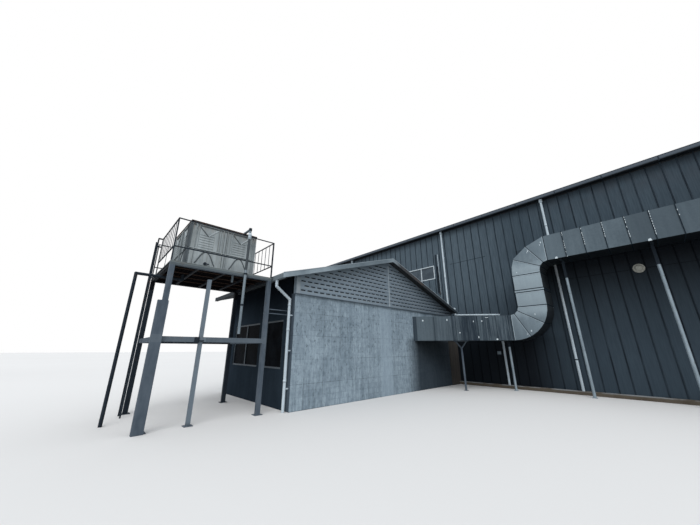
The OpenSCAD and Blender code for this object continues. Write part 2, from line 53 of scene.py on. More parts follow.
class Value:
    """A number that varies over a surface. Expressions on it add Math nodes."""

    def __init__(self, nodes, socket):
        self.nodes, self.socket = nodes, socket

    def op(self, name, *values, clamp=False):
        settings = {"operation": name, "use_clamp": clamp}
        made = self.nodes.node("ShaderNodeMath", settings, dict(enumerate(values)))
        return Value(self.nodes, made.outputs[0])

    def __add__(self, other):
        return self.op("ADD", self, other)

    def __sub__(self, other):
        return self.op("SUBTRACT", self, other)

    def __rsub__(self, other):
        return self.op("SUBTRACT", other, self)

    def __mul__(self, other):
        return self.op("MULTIPLY", self, other)

    def __truediv__(self, other):
        return self.op("DIVIDE", self, other)

    def __gt__(self, other):
        return self.op("GREATER_THAN", self, other)

    def __lt__(self, other):
        return self.op("LESS_THAN", self, other)

    __radd__, __rmul__ = __add__, __mul__

    def power(self, other):
        return self.op("POWER", self, other)

    def floor(self):
        return self.op("FLOOR", self)

    def fract(self):
        return self.op("FRACT", self)

    def clamp(self):
        return self.op("ADD", self, 0.0, clamp=True)

    def between(self, low, high):
        """0 below low, 1 above high, even in between."""
        return self.op("MULTIPLY", self - low, 1 / (high - low), clamp=True)

    def larger(self, other):
        return self.op("MAXIMUM", self, other)

    def band(self, low, high, edge=0.01):
        """1 from low to high, 0 outside, with a soft edge."""
        return self.between(low - edge, low) * (1 - self.between(high, high + edge))


class Nodes:
    """A node tree that is written by calls."""

    def __init__(self, tree):
        self.tree = tree
        tree.nodes.clear()

    def node(self, kind, settings, inputs):
        """New node: its settings first, then the value or link of each socket."""
        made = self.tree.nodes.new(kind)
        for key, value in settings.items():
            setattr(made, key, value)
        for key, value in inputs.items():
            if isinstance(value, Value):
                value = value.socket
            if isinstance(value, bpy.types.NodeSocket):
                self.tree.links.new(value, made.inputs[key])
            else:
                made.inputs[key].default_value = value
        return made

    def split(self, vector):
        """The three parts of a vector."""
        made = self.node("ShaderNodeSeparateXYZ", {}, {0: vector})
        return [Value(self, part) for part in made.outputs]

    def seen_directly(self):
        """1 for what the camera sees, straight or in shiny or clear surfaces."""
        path = self.node("ShaderNodeLightPath", {}, {})
        straight, shiny, clear = (Value(self, path.outputs[f"Is {ray} Ray"])
                                  for ray in ("Camera", "Glossy", "Transmission"))
        return straight.larger(shiny).larger(clear)


class Finish(Nodes):
    """One procedural material, in metres of the shared frame. Shades are written in 0 to 255."""

    def __init__(self, name, roughness=0.7, metallic=0.0, shine=0.25):
        self.material = bpy.data.materials.new(name)
        self.material.use_nodes = True
        super().__init__(self.material.node_tree)
        self.shader = self.node("ShaderNodeBsdfPrincipled", {}, {
            "Roughness": roughness, "Metallic": metallic, "Specular IOR Level": shine})
        self.node("ShaderNodeOutputMaterial", {}, {"Surface": self.shader.outputs[0]})
        self.place = self.node("ShaderNodeTexCoord", {}, {}).outputs["Object"]
        self.x, self.y, self.z = self.split(self.place)
        facing = self.node("ShaderNodeNewGeometry", {}, {}).outputs["Normal"]
        self.face_y, self.face_z = self.split(facing)[1:]

    def noise(self, scale, detail=3.0, rough=0.55, at=None):
        made = self.node("ShaderNodeTexNoise", {}, {
            "Vector": at or self.place, "Scale": scale, "Detail": detail, "Roughness": rough})
        return Value(self, made.outputs[0])

    def grain(self, x, y, z, detail=4.0, rough=0.55):
        """Noise in streaks, long along the axes where the number is small."""
        scaled = self.node("ShaderNodeVectorMath", {"operation": "MULTIPLY"}, {0: self.place, 1: (x, y, z)})
        return self.noise(1.0, detail, rough, scaled.outputs[0])

    def random(self, number, seed=0.0):
        """A random share for each whole number."""
        made = self.node("ShaderNodeTexWhiteNoise", {"noise_dimensions": "1D"}, {"W": number + seed})
        return Value(self, made.outputs[0])

    def mix(self, amount, first, second):
        """Blend of two colours, each a shade or an earlier blend."""
        first, second = (tone(*c) if isinstance(c, tuple) else c for c in (first, second))
        return self.node("ShaderNodeMix", {"data_type": "RGBA"}, {0: amount, 6: first, 7: second}).outputs[2]

    def coat(self, amount, dark, light):
        """First coat, from dark to light."""
        self.colour = self.mix(amount, dark, light)

    def stain(self, amount, shade):
        """A later coat over what is painted so far."""
        self.colour = self.mix(amount, self.colour, shade)

    def done(self, roughness=None, height=None, bump=0.5, depth=0.01):
        self.tree.links.new(self.colour, self.shader.inputs["Base Color"])
        if roughness is not None:
            self.tree.links.new(roughness.socket, self.shader.inputs["Roughness"])
        if height is not None:
            made = self.node("ShaderNodeBump", {}, {"Strength": bump, "Distance": depth, "Height": height})
            self.tree.links.new(made.outputs[0], self.shader.inputs["Normal"])
        return self.material


# Places and sizes, from the frame

WALL_LO, WALL_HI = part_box("hall_front_wall")
REAR_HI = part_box("hall_rear_wall")[1]
NEAR_LO, NEAR_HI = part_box("hall_near_end_wall")
FAR_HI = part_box("hall_far_end_wall")[1]
GUTTER_LO, GUTTER_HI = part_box("hall_gutters")
KERB_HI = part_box("hall_kerb")[1]
GABLE_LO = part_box("annex_gable_wall")[0]
SIDING_LO, SIDING_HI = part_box("annex_gable_siding")
BACK_LO, BACK_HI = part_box("annex_rear_wall")
LEFT_ROOF_LO, LEFT_ROOF_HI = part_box("annex_left_roof_slope")
RIGHT_ROOF_LO, RIGHT_ROOF_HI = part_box("annex_right_roof_slope")
FRONT_SLOPE_LO, FRONT_SLOPE_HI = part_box("hall_front_roof_slope")
RISER_LO, RISER_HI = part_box("duct_riser")
RUN_LO, RUN_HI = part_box("duct_upper_run")
LOW_RUN_LO, LOW_RUN_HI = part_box("duct_lower_run")
LOW_BEND_LO, LOW_BEND_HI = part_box("duct_lower_bend")
HIGH_BEND_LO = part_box("duct_upper_bend")[0]
TANK_LO, TANK_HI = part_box("water_tank")
LID_LO, LID_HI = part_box("tank_lid")
DECK_LO, DECK_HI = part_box("tower_deck")
COLUMN_LO, COLUMN_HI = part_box("tower_columns")
OVERFLOW_LO, OVERFLOW_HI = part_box("tank_overflow_pipe")
CONDUIT_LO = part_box("wall_conduits")[0]
HALL_X = WALL_LO.x
NEAR_Y = NEAR_LO.y
RIB_STEP, RIB_PHASE = 0.4718, 0.438
BLOCK_H, BLOCK_LEN = 0.2, 0.4
SLAB_H, SLAB_LEN = 0.8, 0.83
SIDING_ROW = 0.174
ROOF_T, HALL_ROOF_T = 0.11, 0.15
ANNEX_RIB_STEP = 0.25
RIDGE = LEFT_ROOF_HI.x
LEFT_FALL = (LEFT_ROOF_HI.z - LEFT_ROOF_LO.z - ROOF_T) / (RIDGE - LEFT_ROOF_LO.x)
RIGHT_FALL = (RIGHT_ROOF_HI.z - RIGHT_ROOF_LO.z - ROOF_T) / (RIGHT_ROOF_HI.x - RIDGE)
DUCT_W = RISER_HI.x - RISER_LO.x


def roof_height(x):
    """Height of the annex roof's top face at a place across it."""
    return LEFT_ROOF_HI.z - (LEFT_FALL if x < RIDGE else RIGHT_FALL) * abs(x - RIDGE)


# the duct's bends turn about these places in Y and Z
LOW_CENTRE = (LOW_BEND_HI.y, LOW_BEND_HI.z)
HIGH_CENTRE = (HIGH_BEND_LO.y, HIGH_BEND_LO.z)
INNER_R = LOW_BEND_HI.z - LOW_BEND_LO.z - DUCT_W
OUTER_R = INNER_R + DUCT_W
# seams across the riser and the runs
COLLAR_Z = 4.665
RISER_TOP, RISER_FOOT = HIGH_CENTRE[1] - 0.11, LOW_CENTRE[1] - 0.03
SHEET_LEN, LOW_SHEET_LEN = 0.72, 0.47
FIRST_SEAM = RUN_HI.y - 0.75


# Finishes

def painted_duct_shade(f):
    """1 on the hall wall close under the duct, where painted shade stands for the duct's shadow, fading out
    lower down and along the wall.
    """
    front = f.x < HALL_X + 0.3
    up = f.z.between(RUN_LO.z - 4.6, RUN_LO.z - 0.3).power(1.5) * (f.z < RUN_HI.z)
    upper = up * (1 - f.y.between(RISER_LO.y + 0.5, RISER_HI.y + 0.15)) * 0.93
    low = 1 - f.z.between(LOW_RUN_LO.z + 0.05, LOW_RUN_LO.z + 0.75)
    lower = low * f.y.between(RISER_LO.y - 0.5, RISER_HI.y + 0.2) * (f.y < BACK_LO.y) * 0.9
    return front * upper.larger(lower)


def clad_finish():
    f = Finish("dark_ribbed_cladding", roughness=0.55, shine=0.1)
    # along the wall for its long sides, across it for its ends: both share one count
    run = f.x + f.y - (HALL_X + NEAR_Y)
    sheet = (run / RIB_STEP - RIB_PHASE).floor()
    streak = f.grain(5.0, 5.0, 0.25)
    grain = f.grain(26.0, 26.0, 1.6, 3.0)
    amount = (f.random(sheet, 3.7) * 0.4 + streak * 0.5 + f.noise(0.35, 4.0) * 0.35 - 0.15).clamp()
    f.coat(amount, (56, 69, 79), (74, 88, 98))
    f.stain(f.y.between(RISER_LO.y + 0.6, GABLE_LO.y - 0.6) * 0.72, (92, 106, 116))
    f.stain(grain.between(0.38, 0.66) * 0.4, (42, 53, 62))
    near = 1 - f.y.between(RISER_LO.y - 6.5, RISER_LO.y - 3.0)
    f.stain(near * 0.32, (36, 46, 55))
    # darker towards the bottom: painted shade, where the lower wall sees less of the sky
    low = (1 - f.z.between(2.5, 5.5)) * 0.5
    f.stain(low, (46, 57, 67))
    brown = f.z.between(8.3, 9.4) * (1 - f.y.between(RISER_LO.y - 1.2, RISER_LO.y + 1.2))
    f.stain(brown * f.noise(1.6, 3.0).between(0.35, 0.75) * 0.35, (66, 64, 68))
    # painted shadow under the gutter, along the top of the wall
    eave = f.z.between(GUTTER_LO.z - 0.5, GUTTER_LO.z) * 0.5
    f.stain(eave, (26, 33, 40))
    # painted shade on the wall under the duct
    f.stain(painted_duct_shade(f), (3, 6, 13))
    return f.done(0.45 + streak * 0.25, streak + grain * 0.4, 0.12, 0.008)


def rib_finish():
    f = Finish("cladding_rib", roughness=0.6, shine=0.06)
    streak = f.grain(6.0, 6.0, 0.9, 3.0)
    # the ribs are painted darker than the sheet: painted shade along the sides of each rib
    f.coat(streak.between(0.3, 0.7), (24, 31, 38), (52, 63, 72))
    # painted shade on the ribs under the duct
    f.stain(painted_duct_shade(f), (2, 4, 9))
    return f.done(0.5 + streak * 0.2)


def trim_finish():
    f = Finish("weathered_grey_trim", roughness=0.6, shine=0.15)
    patch = f.noise(0.9, 4.0)
    streak = f.grain(4.5, 4.5, 18.0, 3.0)
    f.coat(patch * 0.6 + streak * 0.4, (54, 64, 74), (78, 88, 98))
    lip = f.z.band(GUTTER_HI.z - 0.13, GUTTER_HI.z - 0.05, 0.02) * 0.3
    f.stain(lip, (104, 112, 122))
    edge = f.z.between(GUTTER_HI.z - 0.05, GUTTER_HI.z - 0.03) * 0.8 * (f.z < GUTTER_HI.z + 0.02)
    f.stain(edge, (24, 32, 42))
    # painted shade on the gutter's underside and a painted shadow line just below it
    under = (f.face_z < -0.5).larger((f.z < GUTTER_LO.z + 0.035) * (f.z > GUTTER_LO.z - 0.01)) * 0.9
    f.stain(under, (10, 13, 18))
    return f.done(0.5 + patch * 0.3, streak, 0.1, 0.004)


def roof_finish(name, dark, light):
    f = Finish(name, roughness=0.65)
    patch = f.noise(0.5, 5.0)
    streak = f.grain(0.6, 4.8, 1.2, 3.0)
    f.coat(patch * 0.55 + streak * 0.45, dark, light)
    rust = (f.noise(2.4, 5.0) > 0.66) * 0.35
    f.stain(rust, (104, 84, 70))
    # painted shade on the roof's underside and on its edge face at the hall's eave
    under = (f.face_z < -0.5).larger((f.face_z < 0.5) * (f.z > GUTTER_LO.z - 0.1)) * 0.9
    f.stain(under, (12, 15, 19))
    return f.done(0.55 + patch * 0.2, streak, 0.1, 0.004)


def block_joints(f, run):
    """Each block's row and count along it, and 1 on the joints. run is the way along the wall."""
    row = (f.z / BLOCK_H).floor()
    along = (run + row * (BLOCK_LEN / 2)) / BLOCK_LEN
    return row, along, ((f.z / BLOCK_H).fract() < 0.05).larger(along.fract() < 0.022)


def masonry_finish():
    f = Finish("mottled_grey_masonry", roughness=0.9, shine=0.1)
    big = f.noise(0.45, 5.0, rough=0.6)
    fine = f.noise(11.0, 4.0)
    streak = f.grain(5.5, 5.5, 0.4, 5.0, 0.65)
    run = f.x + f.y
    row, along, joints = block_joints(f, run)
    block = f.random(along.floor() + row * 17.3)
    slab = f.random((run / SLAB_LEN).floor() * 3.1 + (f.z / SLAB_H).floor(), 5.0)
    wash = f.grain(11.0, 11.0, 2.2, 5.0, 0.7)
    grit = f.noise(7.0, 5.0, rough=0.7)
    amount = streak.between(0.3, 0.7) * 0.34 + wash.between(0.32, 0.68) * 0.34 + big.between(0.3, 0.7) * 0.22
    amount = (amount + grit.between(0.3, 0.7) * 0.3 + block * 0.12 + slab * 0.16 - 0.23).clamp()
    f.coat(amount, (92, 108, 120), (168, 185, 197))
    corner = (1 - f.x.between(GABLE_LO.x + 1.2, GABLE_LO.x + 2.6)) * f.z.between(1.6, 3.4)
    f.stain(corner * 0.3, (88, 102, 112))
    f.stain(joints * f.noise(1.1, 3.0).between(0.42, 0.62) * 0.45, (84, 97, 107))
    edge = ((f.z / SLAB_H).fract() < 0.018).larger((run / SLAB_LEN).fract() < 0.018)
    f.stain(edge * f.noise(0.8, 3.0, rough=0.6).between(0.4, 0.55) * 0.6, (74, 86, 95))
    speck = f.grain(12.0, 12.0, 6.0, 5.0, 0.7).between(0.54, 0.66)
    f.stain(speck * (0.4 + f.z.between(0.6, 2.4) * 0.4), (78, 92, 102))
    pale = f.grain(11.0, 11.0, 2.6, 5.0, 0.75).between(0.57, 0.68)
    f.stain(pale * 0.5, (172, 188, 198))
    smooth = f.x.band(GABLE_LO.x + 4.6, GABLE_LO.x + 5.35, 0.05) * (f.y < GABLE_LO.y + 0.1)
    f.stain(smooth * 0.55, (150, 167, 180))
    # painted shade: the gable wall near black close under the duct's lower run, less dark towards the ground
    front = f.y < GABLE_LO.y + 0.02
    below = (1 - f.z.between(LOW_RUN_LO.z - 0.03, LOW_RUN_LO.z + 0.25)) * front
    painted_run_shade = f.x.between(LOW_RUN_LO.x - 0.75, LOW_RUN_LO.x + 0.35) * below * 0.92
    f.stain(painted_run_shade, f.mix(f.z.between(0.9, LOW_RUN_LO.z), (38, 47, 56), (9, 14, 20)))
    # painted shade on the walls' left end faces, which face the shaded side
    end = (f.x < GABLE_LO.x + 0.004) * 0.85
    f.stain(end, (56, 67, 78))
    height = fine * 0.4 + grit * 0.4 + streak * 0.3 - joints * 0.35 - edge * 0.3
    return f.done(None, height, 0.35, 0.012)


def side_masonry_finish():
    # painted shade: a darker copy of the grey masonry for the side wall, which lies in shade
    f = Finish("shaded_side_masonry", roughness=0.95, shine=0.0)
    big = f.noise(0.9, 5.0, rough=0.6)
    fine = f.noise(11.0, 4.0)
    streak = f.grain(5.0, 5.0, 0.4, rough=0.65)
    f.coat((big * 0.5 + streak * 0.4 + fine * 0.2 - 0.05).clamp(), (24, 32, 40), (54, 65, 75))
    # painted shade, near black, under the eaves
    under = f.z.between(3.0, 4.1) * 0.7
    f.stain(under, (8, 11, 16))
    joints = block_joints(f, f.y)[2]
    return f.done(None, fine * 0.5 + streak * 0.4 - joints * 0.35, 0.35, 0.012)


def siding_finish():
    f = Finish("grey_lap_siding", roughness=0.75)
    streak = f.grain(1.2, 1.2, 9.0)
    patch = f.noise(0.7, 4.0)
    left = 1 - f.x.between(SIDING_LO.x - 1.0, SIDING_HI.x)
    spread = (streak * 0.5 + patch * 0.5) * 0.45 + left * 0.75 - 0.12
    f.coat(spread.clamp(), (62, 73, 83), (142, 158, 170))
    rust = (f.noise(1.4, 5.0).between(0.6, 0.72)) * f.z.between(4.6, 5.6) * 0.4
    f.stain(rust, (84, 74, 70))
    # painted highlight: a lighter band across each row of boards, below its slots
    lap = ((f.z - SIDING_LO.z) / SIDING_ROW).fract()
    f.stain(lap.band(0.3, 0.52, 0.1) * 0.2, (156, 170, 180))
    return f.done(None, streak, 0.15, 0.004)


def slot_finish():
    f = Finish("siding_slot", roughness=0.9, shine=0.0)
    # lighter in patches and towards the left end
    slot_tone = f.noise(3.0, 3.0) * 0.4 + (1 - f.x.between(SIDING_LO.x, SIDING_HI.x)) * 0.6
    f.coat(slot_tone, (9, 14, 20), (20, 27, 34))
    return f.done()


def verge_finish():
    f = Finish("weathered_verge_board", roughness=0.7, shine=0.12)
    patch = f.noise(1.3, 5.0)
    f.coat(patch.between(0.3, 0.7), (112, 125, 134), (148, 162, 170))
    middle = f.x.band(RIDGE - 3.2, RIDGE - 0.6, 0.8) * 0.55
    f.stain(middle, (78, 90, 98))
    # darker along the right slope, with brown patches
    dark = f.mix(f.x.between(RIDGE + 1.0, RIGHT_ROOF_HI.x), (62, 62, 64), (32, 42, 50))
    right_verge_tone = f.mix(f.noise(1.1, 4.0).between(0.5, 0.66) * 0.7, dark, (84, 66, 54))
    f.stain(f.x.between(RIDGE - 0.02, RIDGE + 0.6) * 0.95, right_verge_tone)
    return f.done(0.6 + patch * 0.2, patch, 0.1, 0.004)


def eave_gutter_finish():
    f = Finish("annex_eave_gutter", roughness=0.7, shine=0.05)
    patch = f.noise(1.5, 5.0)
    streak = f.grain(3.0, 3.0, 14.0)
    f.coat((patch * 0.6 + streak * 0.5).clamp(), (98, 109, 116), (128, 139, 145))
    # painted shade: the gutter darker along the annex's shaded side, past its front end
    painted_side_shade = f.y.between(GABLE_LO.y + 0.2, GABLE_LO.y + 0.9) * 0.85
    f.stain(painted_side_shade, (26, 29, 33))
    return f.done(0.6 + patch * 0.2, streak, 0.1, 0.003)


def siding_trim_finish():
    f = Finish("siding_edge_strip", roughness=0.7)
    patch = f.noise(2.1, 4.0)
    f.coat(patch.between(0.3, 0.7), (124, 136, 144), (162, 172, 178))
    # painted shadow: a dark line along the bottom edge of the siding
    lower = f.mix(f.x.between(GABLE_LO.x, RIDGE + 2), (66, 78, 88), (54, 64, 73))
    f.stain((f.z < SIDING_LO.z + 0.004) * 0.9, lower)
    return f.done(0.6 + patch * 0.2)


def plain_finish(name, dark, light, roughness=0.6, metallic=0.0, scale=1.5, rust=0.0,
                 rust_tone=(96, 66, 50), bump=0.1, shine=0.2):
    f = Finish(name, roughness, metallic, shine)
    patch = f.noise(scale, 5.0)
    fine = f.noise(scale * 9, 3.0)
    f.coat((patch * 0.7 + fine * 0.4).clamp(), dark, light)
    if rust:
        spots = f.noise(scale * 2.2, 6.0, rough=0.65).between(0.62 - rust * 0.14, 0.72)
        f.stain(spots * min(1.0, 0.4 + rust), rust_tone)
    return f.done(roughness - 0.1 + patch * 0.2, fine, bump, 0.003)


def pipe_finish():
    f = Finish("white_pipe", roughness=0.45)
    patch = f.noise(0.9, 5.0)
    streak = f.grain(9.0, 9.0, 0.7)
    f.coat((patch * 0.5 + streak * 0.5).between(0.3, 0.7), (158, 172, 182), (204, 217, 225))
    spots = f.noise(3.0, 5.0, rough=0.65).between(0.6, 0.72) * 0.5
    f.stain(spots, (136, 134, 128))
    # painted shade: the white pipes darker under the duct
    below = f.z.between(RUN_LO.z - 2.6, RUN_LO.z) * (f.z < RUN_LO.z + 0.4) * (f.y < RISER_LO.y)
    f.stain(below * 0.6, (96, 90, 86))
    return f.done(0.4 + patch * 0.2, streak, 0.08, 0.003)


def duct_section(f, run):
    """A number of its own for each made-up section of the duct, and the share across it."""
    if run:
        upper = f.z > RUN_LO.z - 0.2
        count = (FIRST_SEAM - f.y) / SHEET_LEN * upper + (LOW_RUN_HI.y - f.y) / LOW_SHEET_LEN * (1 - upper)
        return count + 40 * upper
    high, low, upper = f.z > RISER_TOP, f.z < RISER_FOOT, f.z > COLLAR_Z + 0.05
    # the bends' seams lie about 31 degrees apart
    turn_high = f.x.op("ARCTAN2", f.z - HIGH_CENTRE[1], f.y - HIGH_CENTRE[0]) / math.radians(1)
    turn_low = f.x.op("ARCTAN2", f.z - LOW_CENTRE[1], f.y - LOW_CENTRE[0]) / math.radians(1)
    first = (RISER_TOP - f.z) / (RISER_TOP - COLLAR_Z) * upper
    second = ((COLLAR_Z + 0.05 - f.z) / (COLLAR_Z + 0.06 - RISER_FOOT) + 1) * (1 - upper)
    straight = (1 - high) * (1 - low) * (first + second)
    return high * (40 - (turn_high - 28) / 31) + low * ((turn_low + 148) / 31 + 10) + straight


def duct_finish(name, dark, light, run=False):
    f = Finish(name, roughness=0.5, metallic=0.2, shine=0.15)
    streak = f.grain(5.0, 5.0, 0.6, rough=0.6)
    patch = f.noise(0.9, 5.0)
    spangle = f.noise(12.0, 4.0, rough=0.7).between(0.32, 0.68)
    amount = streak.between(0.32, 0.68) * 0.42 + patch.between(0.3, 0.7) * 0.28 + spangle * 0.3
    f.coat(amount, dark, light)
    section = duct_section(f, run)
    own = f.random(section.floor(), 2.6) * (0.4 if run else 0.2) + section.fract() * (0.12 if run else 0.45)
    f.stain(own, tuple(v * 0.72 for v in dark))
    if run:
        upper = f.z > RUN_LO.z - 0.2
        near_bend = f.y.between(FIRST_SEAM, FIRST_SEAM + 0.1) * upper
        f.stain(near_bend * 0.4, (104, 118, 127))
        far = (1 - f.y.between(RUN_HI.y - 3.1, RUN_HI.y - 2.9)) * upper
        f.stain(far * 0.45, (64, 76, 85))
        share = (LOW_RUN_HI.y - f.y) / (LOW_RUN_HI.y - LOW_RUN_LO.y)
        bands = (share.band(0.5, 0.64, 0.05) * 0.75).larger(share.band(-0.1, 0.035) * 0.95)
        bands = bands.larger(share.band(0.4, 0.435) * 0.4).larger(share.band(0.21, 0.24) * 0.35)
        bands = bands.larger(share.between(0.42, 0.6) * 0.3)
        rain = f.grain(16.0, 16.0, 0.7, rough=0.7).between(0.42, 0.6)
        rain = rain * (share.between(0.2, 0.5) * 0.5 + 0.15)
        lower = f.z < LOW_RUN_HI.z + 0.1
        f.stain((bands * 0.8 + rain).clamp() * lower, (36, 47, 57))
    else:
        top = f.z.between(RUN_LO.z, RUN_LO.z + 0.5) * 0.6
        foot = (1 - f.z.between(LOW_RUN_LO.z, LOW_RUN_LO.z + 1.1)) * 0.6
        f.stain(top.larger(foot), (92, 106, 116))
        body = f.z.band(LOW_CENTRE[1] - 0.3, HIGH_CENTRE[1] + 0.2, 0.3) * 0.35
        f.stain(body, (176, 191, 199))
    stain = f.noise(1.7, 5.0).between(0.6, 0.75) * 0.3
    f.stain(stain, (66, 74, 82))
    # painted shade on the duct's undersides and on its faces turned to the hall's near end below the upper
    # run
    under = (f.face_z < -0.4) * 0.93
    side = (f.face_y < -0.9) * (f.z < RUN_LO.z + 0.05) * (f.y > NEAR_Y + 6) * 0.93
    f.stain(under.larger(side), (6, 9, 14))
    return f.done(0.42 + patch * 0.25, streak + patch * 0.5, 0.12, 0.006)


def post_finish():
    f = Finish("post_tube", roughness=0.45, metallic=0.2)
    patch = f.noise(1.5, 5.0)
    streak = f.grain(8.0, 8.0, 0.8)
    f.coat((patch * 0.5 + streak * 0.5).between(0.3, 0.7), (112, 126, 136), (156, 171, 180))
    spots = f.noise(4.0, 5.0, rough=0.65).between(0.6, 0.7) * 0.5
    f.stain(spots, (92, 84, 78))
    return f.done(0.4 + patch * 0.2, streak, 0.08, 0.002)


def tower_finish():
    f = Finish("tower_steel", roughness=0.7, shine=0.02)
    patch = f.noise(1.5, 5.0)
    fine = f.grain(12.0, 12.0, 3.0)
    f.coat((patch * 0.6 + fine * 0.5).between(0.3, 0.8), (64, 75, 86), (98, 108, 118))
    middle = f.x.band(COLUMN_LO.x + 1.08, COLUMN_LO.x + 1.3) * f.z.between(0.02, 0.1)
    f.stain(middle * 0.75 * (f.z < DECK_LO.z - 0.2), (116, 128, 138))
    edge = (f.y < DECK_LO.y + 0.004) * (f.z > DECK_LO.z - 0.095) * 0.7
    f.stain(edge, f.mix(f.z.between(DECK_LO.z - 0.03, DECK_LO.z - 0.02), (88, 96, 99), (116, 124, 124)))
    cross = (f.z < 2.32) * (f.z > 2.12) * (f.y < DECK_LO.y + 0.2) * 0.4
    f.stain(cross, (104, 114, 122))
    # painted shade on the rear columns
    rear = f.y.between(COLUMN_HI.y - 0.3, COLUMN_HI.y - 0.2) * 0.8
    f.stain(rear, (22, 29, 37))
    # painted shade, near black, on the steel behind the front, high up near the deck
    inner = f.y.between(COLUMN_LO.y + 0.2, COLUMN_LO.y + 0.24) * (f.z > DECK_LO.z - 0.4) * 0.88
    f.stain(inner, (18, 18, 21))
    rust = f.noise(3.3, 6.0, rough=0.65).between(0.6, 0.72) * 0.35
    f.stain(rust, (92, 70, 58))
    return f.done(0.5 + patch * 0.2, fine, 0.15, 0.003)


def deck_finish():
    f = Finish("deck_plate", roughness=0.8, shine=0.0)
    patch = f.noise(2.0, 5.0)
    f.coat(patch.between(0.3, 0.7), (86, 94, 97), (120, 127, 128))
    rust = f.noise(2.8, 6.0, rough=0.65).between(0.52, 0.7) * 0.6
    f.stain(rust, (92, 72, 58))
    # painted shade, near black with brown patches, on the deck's underside
    f.stain((f.face_z < -0.5) * 0.95, f.mix(patch.between(0.4, 0.7), (8, 9, 13), (34, 28, 28)))
    return f.done(0.65 + patch * 0.2, patch, 0.2, 0.003)


def tank_finish():
    f = Finish("streaked_tank_sheet", roughness=0.7)
    streak = f.grain(9.0, 9.0, 0.7, 5.0, 0.65)
    patch = f.noise(1.4, 5.0)
    amount = (streak * 0.6 + patch * 0.45).between(0.3, 0.75)
    f.coat(amount, (120, 128, 131), (174, 183, 186))
    brown = f.grain(17.0, 17.0, 0.5, 5.0, 0.7).between(0.56, 0.7)
    f.stain(brown * 0.4, (112, 106, 92))
    rust = f.z.between(TANK_HI.z - 0.3, TANK_HI.z)
    rust = rust * f.grain(14.0, 14.0, 0.8, 5.0).between(0.45, 0.7)
    f.stain(rust * 0.75, (124, 96, 66))
    left = f.x < TANK_LO.x + 0.001
    u = f.y - TANK_LO.y
    # painted shade along the pressed folds of the left face
    folds = left * (u.band(0.36, 0.46, 0.05) * 0.35).larger(u.band(0.84, 0.98, 0.05) * 0.5)
    folds = folds.larger(left * u.band(1.3, 1.4, 0.05) * 0.4)
    f.stain(folds, (72, 82, 90))
    # painted shade at the front left corner
    corner = (left * (1 - u.between(0.11, 0.14))).larger(1 - (f.x - TANK_LO.x).between(0.02, 0.04)) * 0.8
    f.stain(corner * (u < 0.5), (52, 62, 70))
    return f.done(0.6 + patch * 0.2, streak, 0.2, 0.006)


def overflow_finish():
    f = Finish("grey_pipe", roughness=0.5)
    patch = f.noise(2.0, 5.0)
    streak = f.grain(9.0, 9.0, 1.0)
    f.coat((patch * 0.5 + streak * 0.5).between(0.3, 0.7), (96, 108, 117), (132, 145, 153))
    dark = f.z.band(DECK_HI.z + 0.1, TANK_HI.z - 0.1, 0.03) * 0.85
    f.stain(dark, (44, 50, 54))
    return f.done(0.45 + patch * 0.2)


def concrete_finish(name, dark, light, kerb=False):
    f = Finish(name, roughness=0.92)
    patch = f.noise(0.8, 6.0)
    fine = f.noise(14.0, 4.0)
    f.coat((patch * 0.7 + fine * 0.35).clamp(), dark, light)
    if kerb:
        worn = f.grain(1.6, 1.6, 9.0).between(0.4, 0.56)
        f.stain(f.z.between(KERB_HI.z - 0.035, KERB_HI.z - 0.02) * worn * 0.85, (140, 144, 146))
        stain = f.noise(1.3, 5.0).between(0.52, 0.7) * 0.7
        f.stain(stain * (1 - f.z.between(0.02, KERB_HI.z)), (52, 42, 34))
    return f.done(None, fine, 0.3, 0.006)


def board_finish():
    f = Finish("brown_board", roughness=0.8, shine=0.08)
    grain = f.grain(14.0, 14.0, 0.6, 5.0, 0.6)
    f.coat(grain.between(0.3, 0.7), (52, 53, 54), (80, 76, 72))
    return f.done(None, grain, 0.25, 0.004)


def glass_finish(name, dark, light, shine):
    f = Finish(name, roughness=0.15, shine=shine)
    dust = f.noise(1.8, 5.0)
    f.coat(dust.between(0.35, 0.8), dark, light)
    return f.done(0.12 + dust * 0.3)


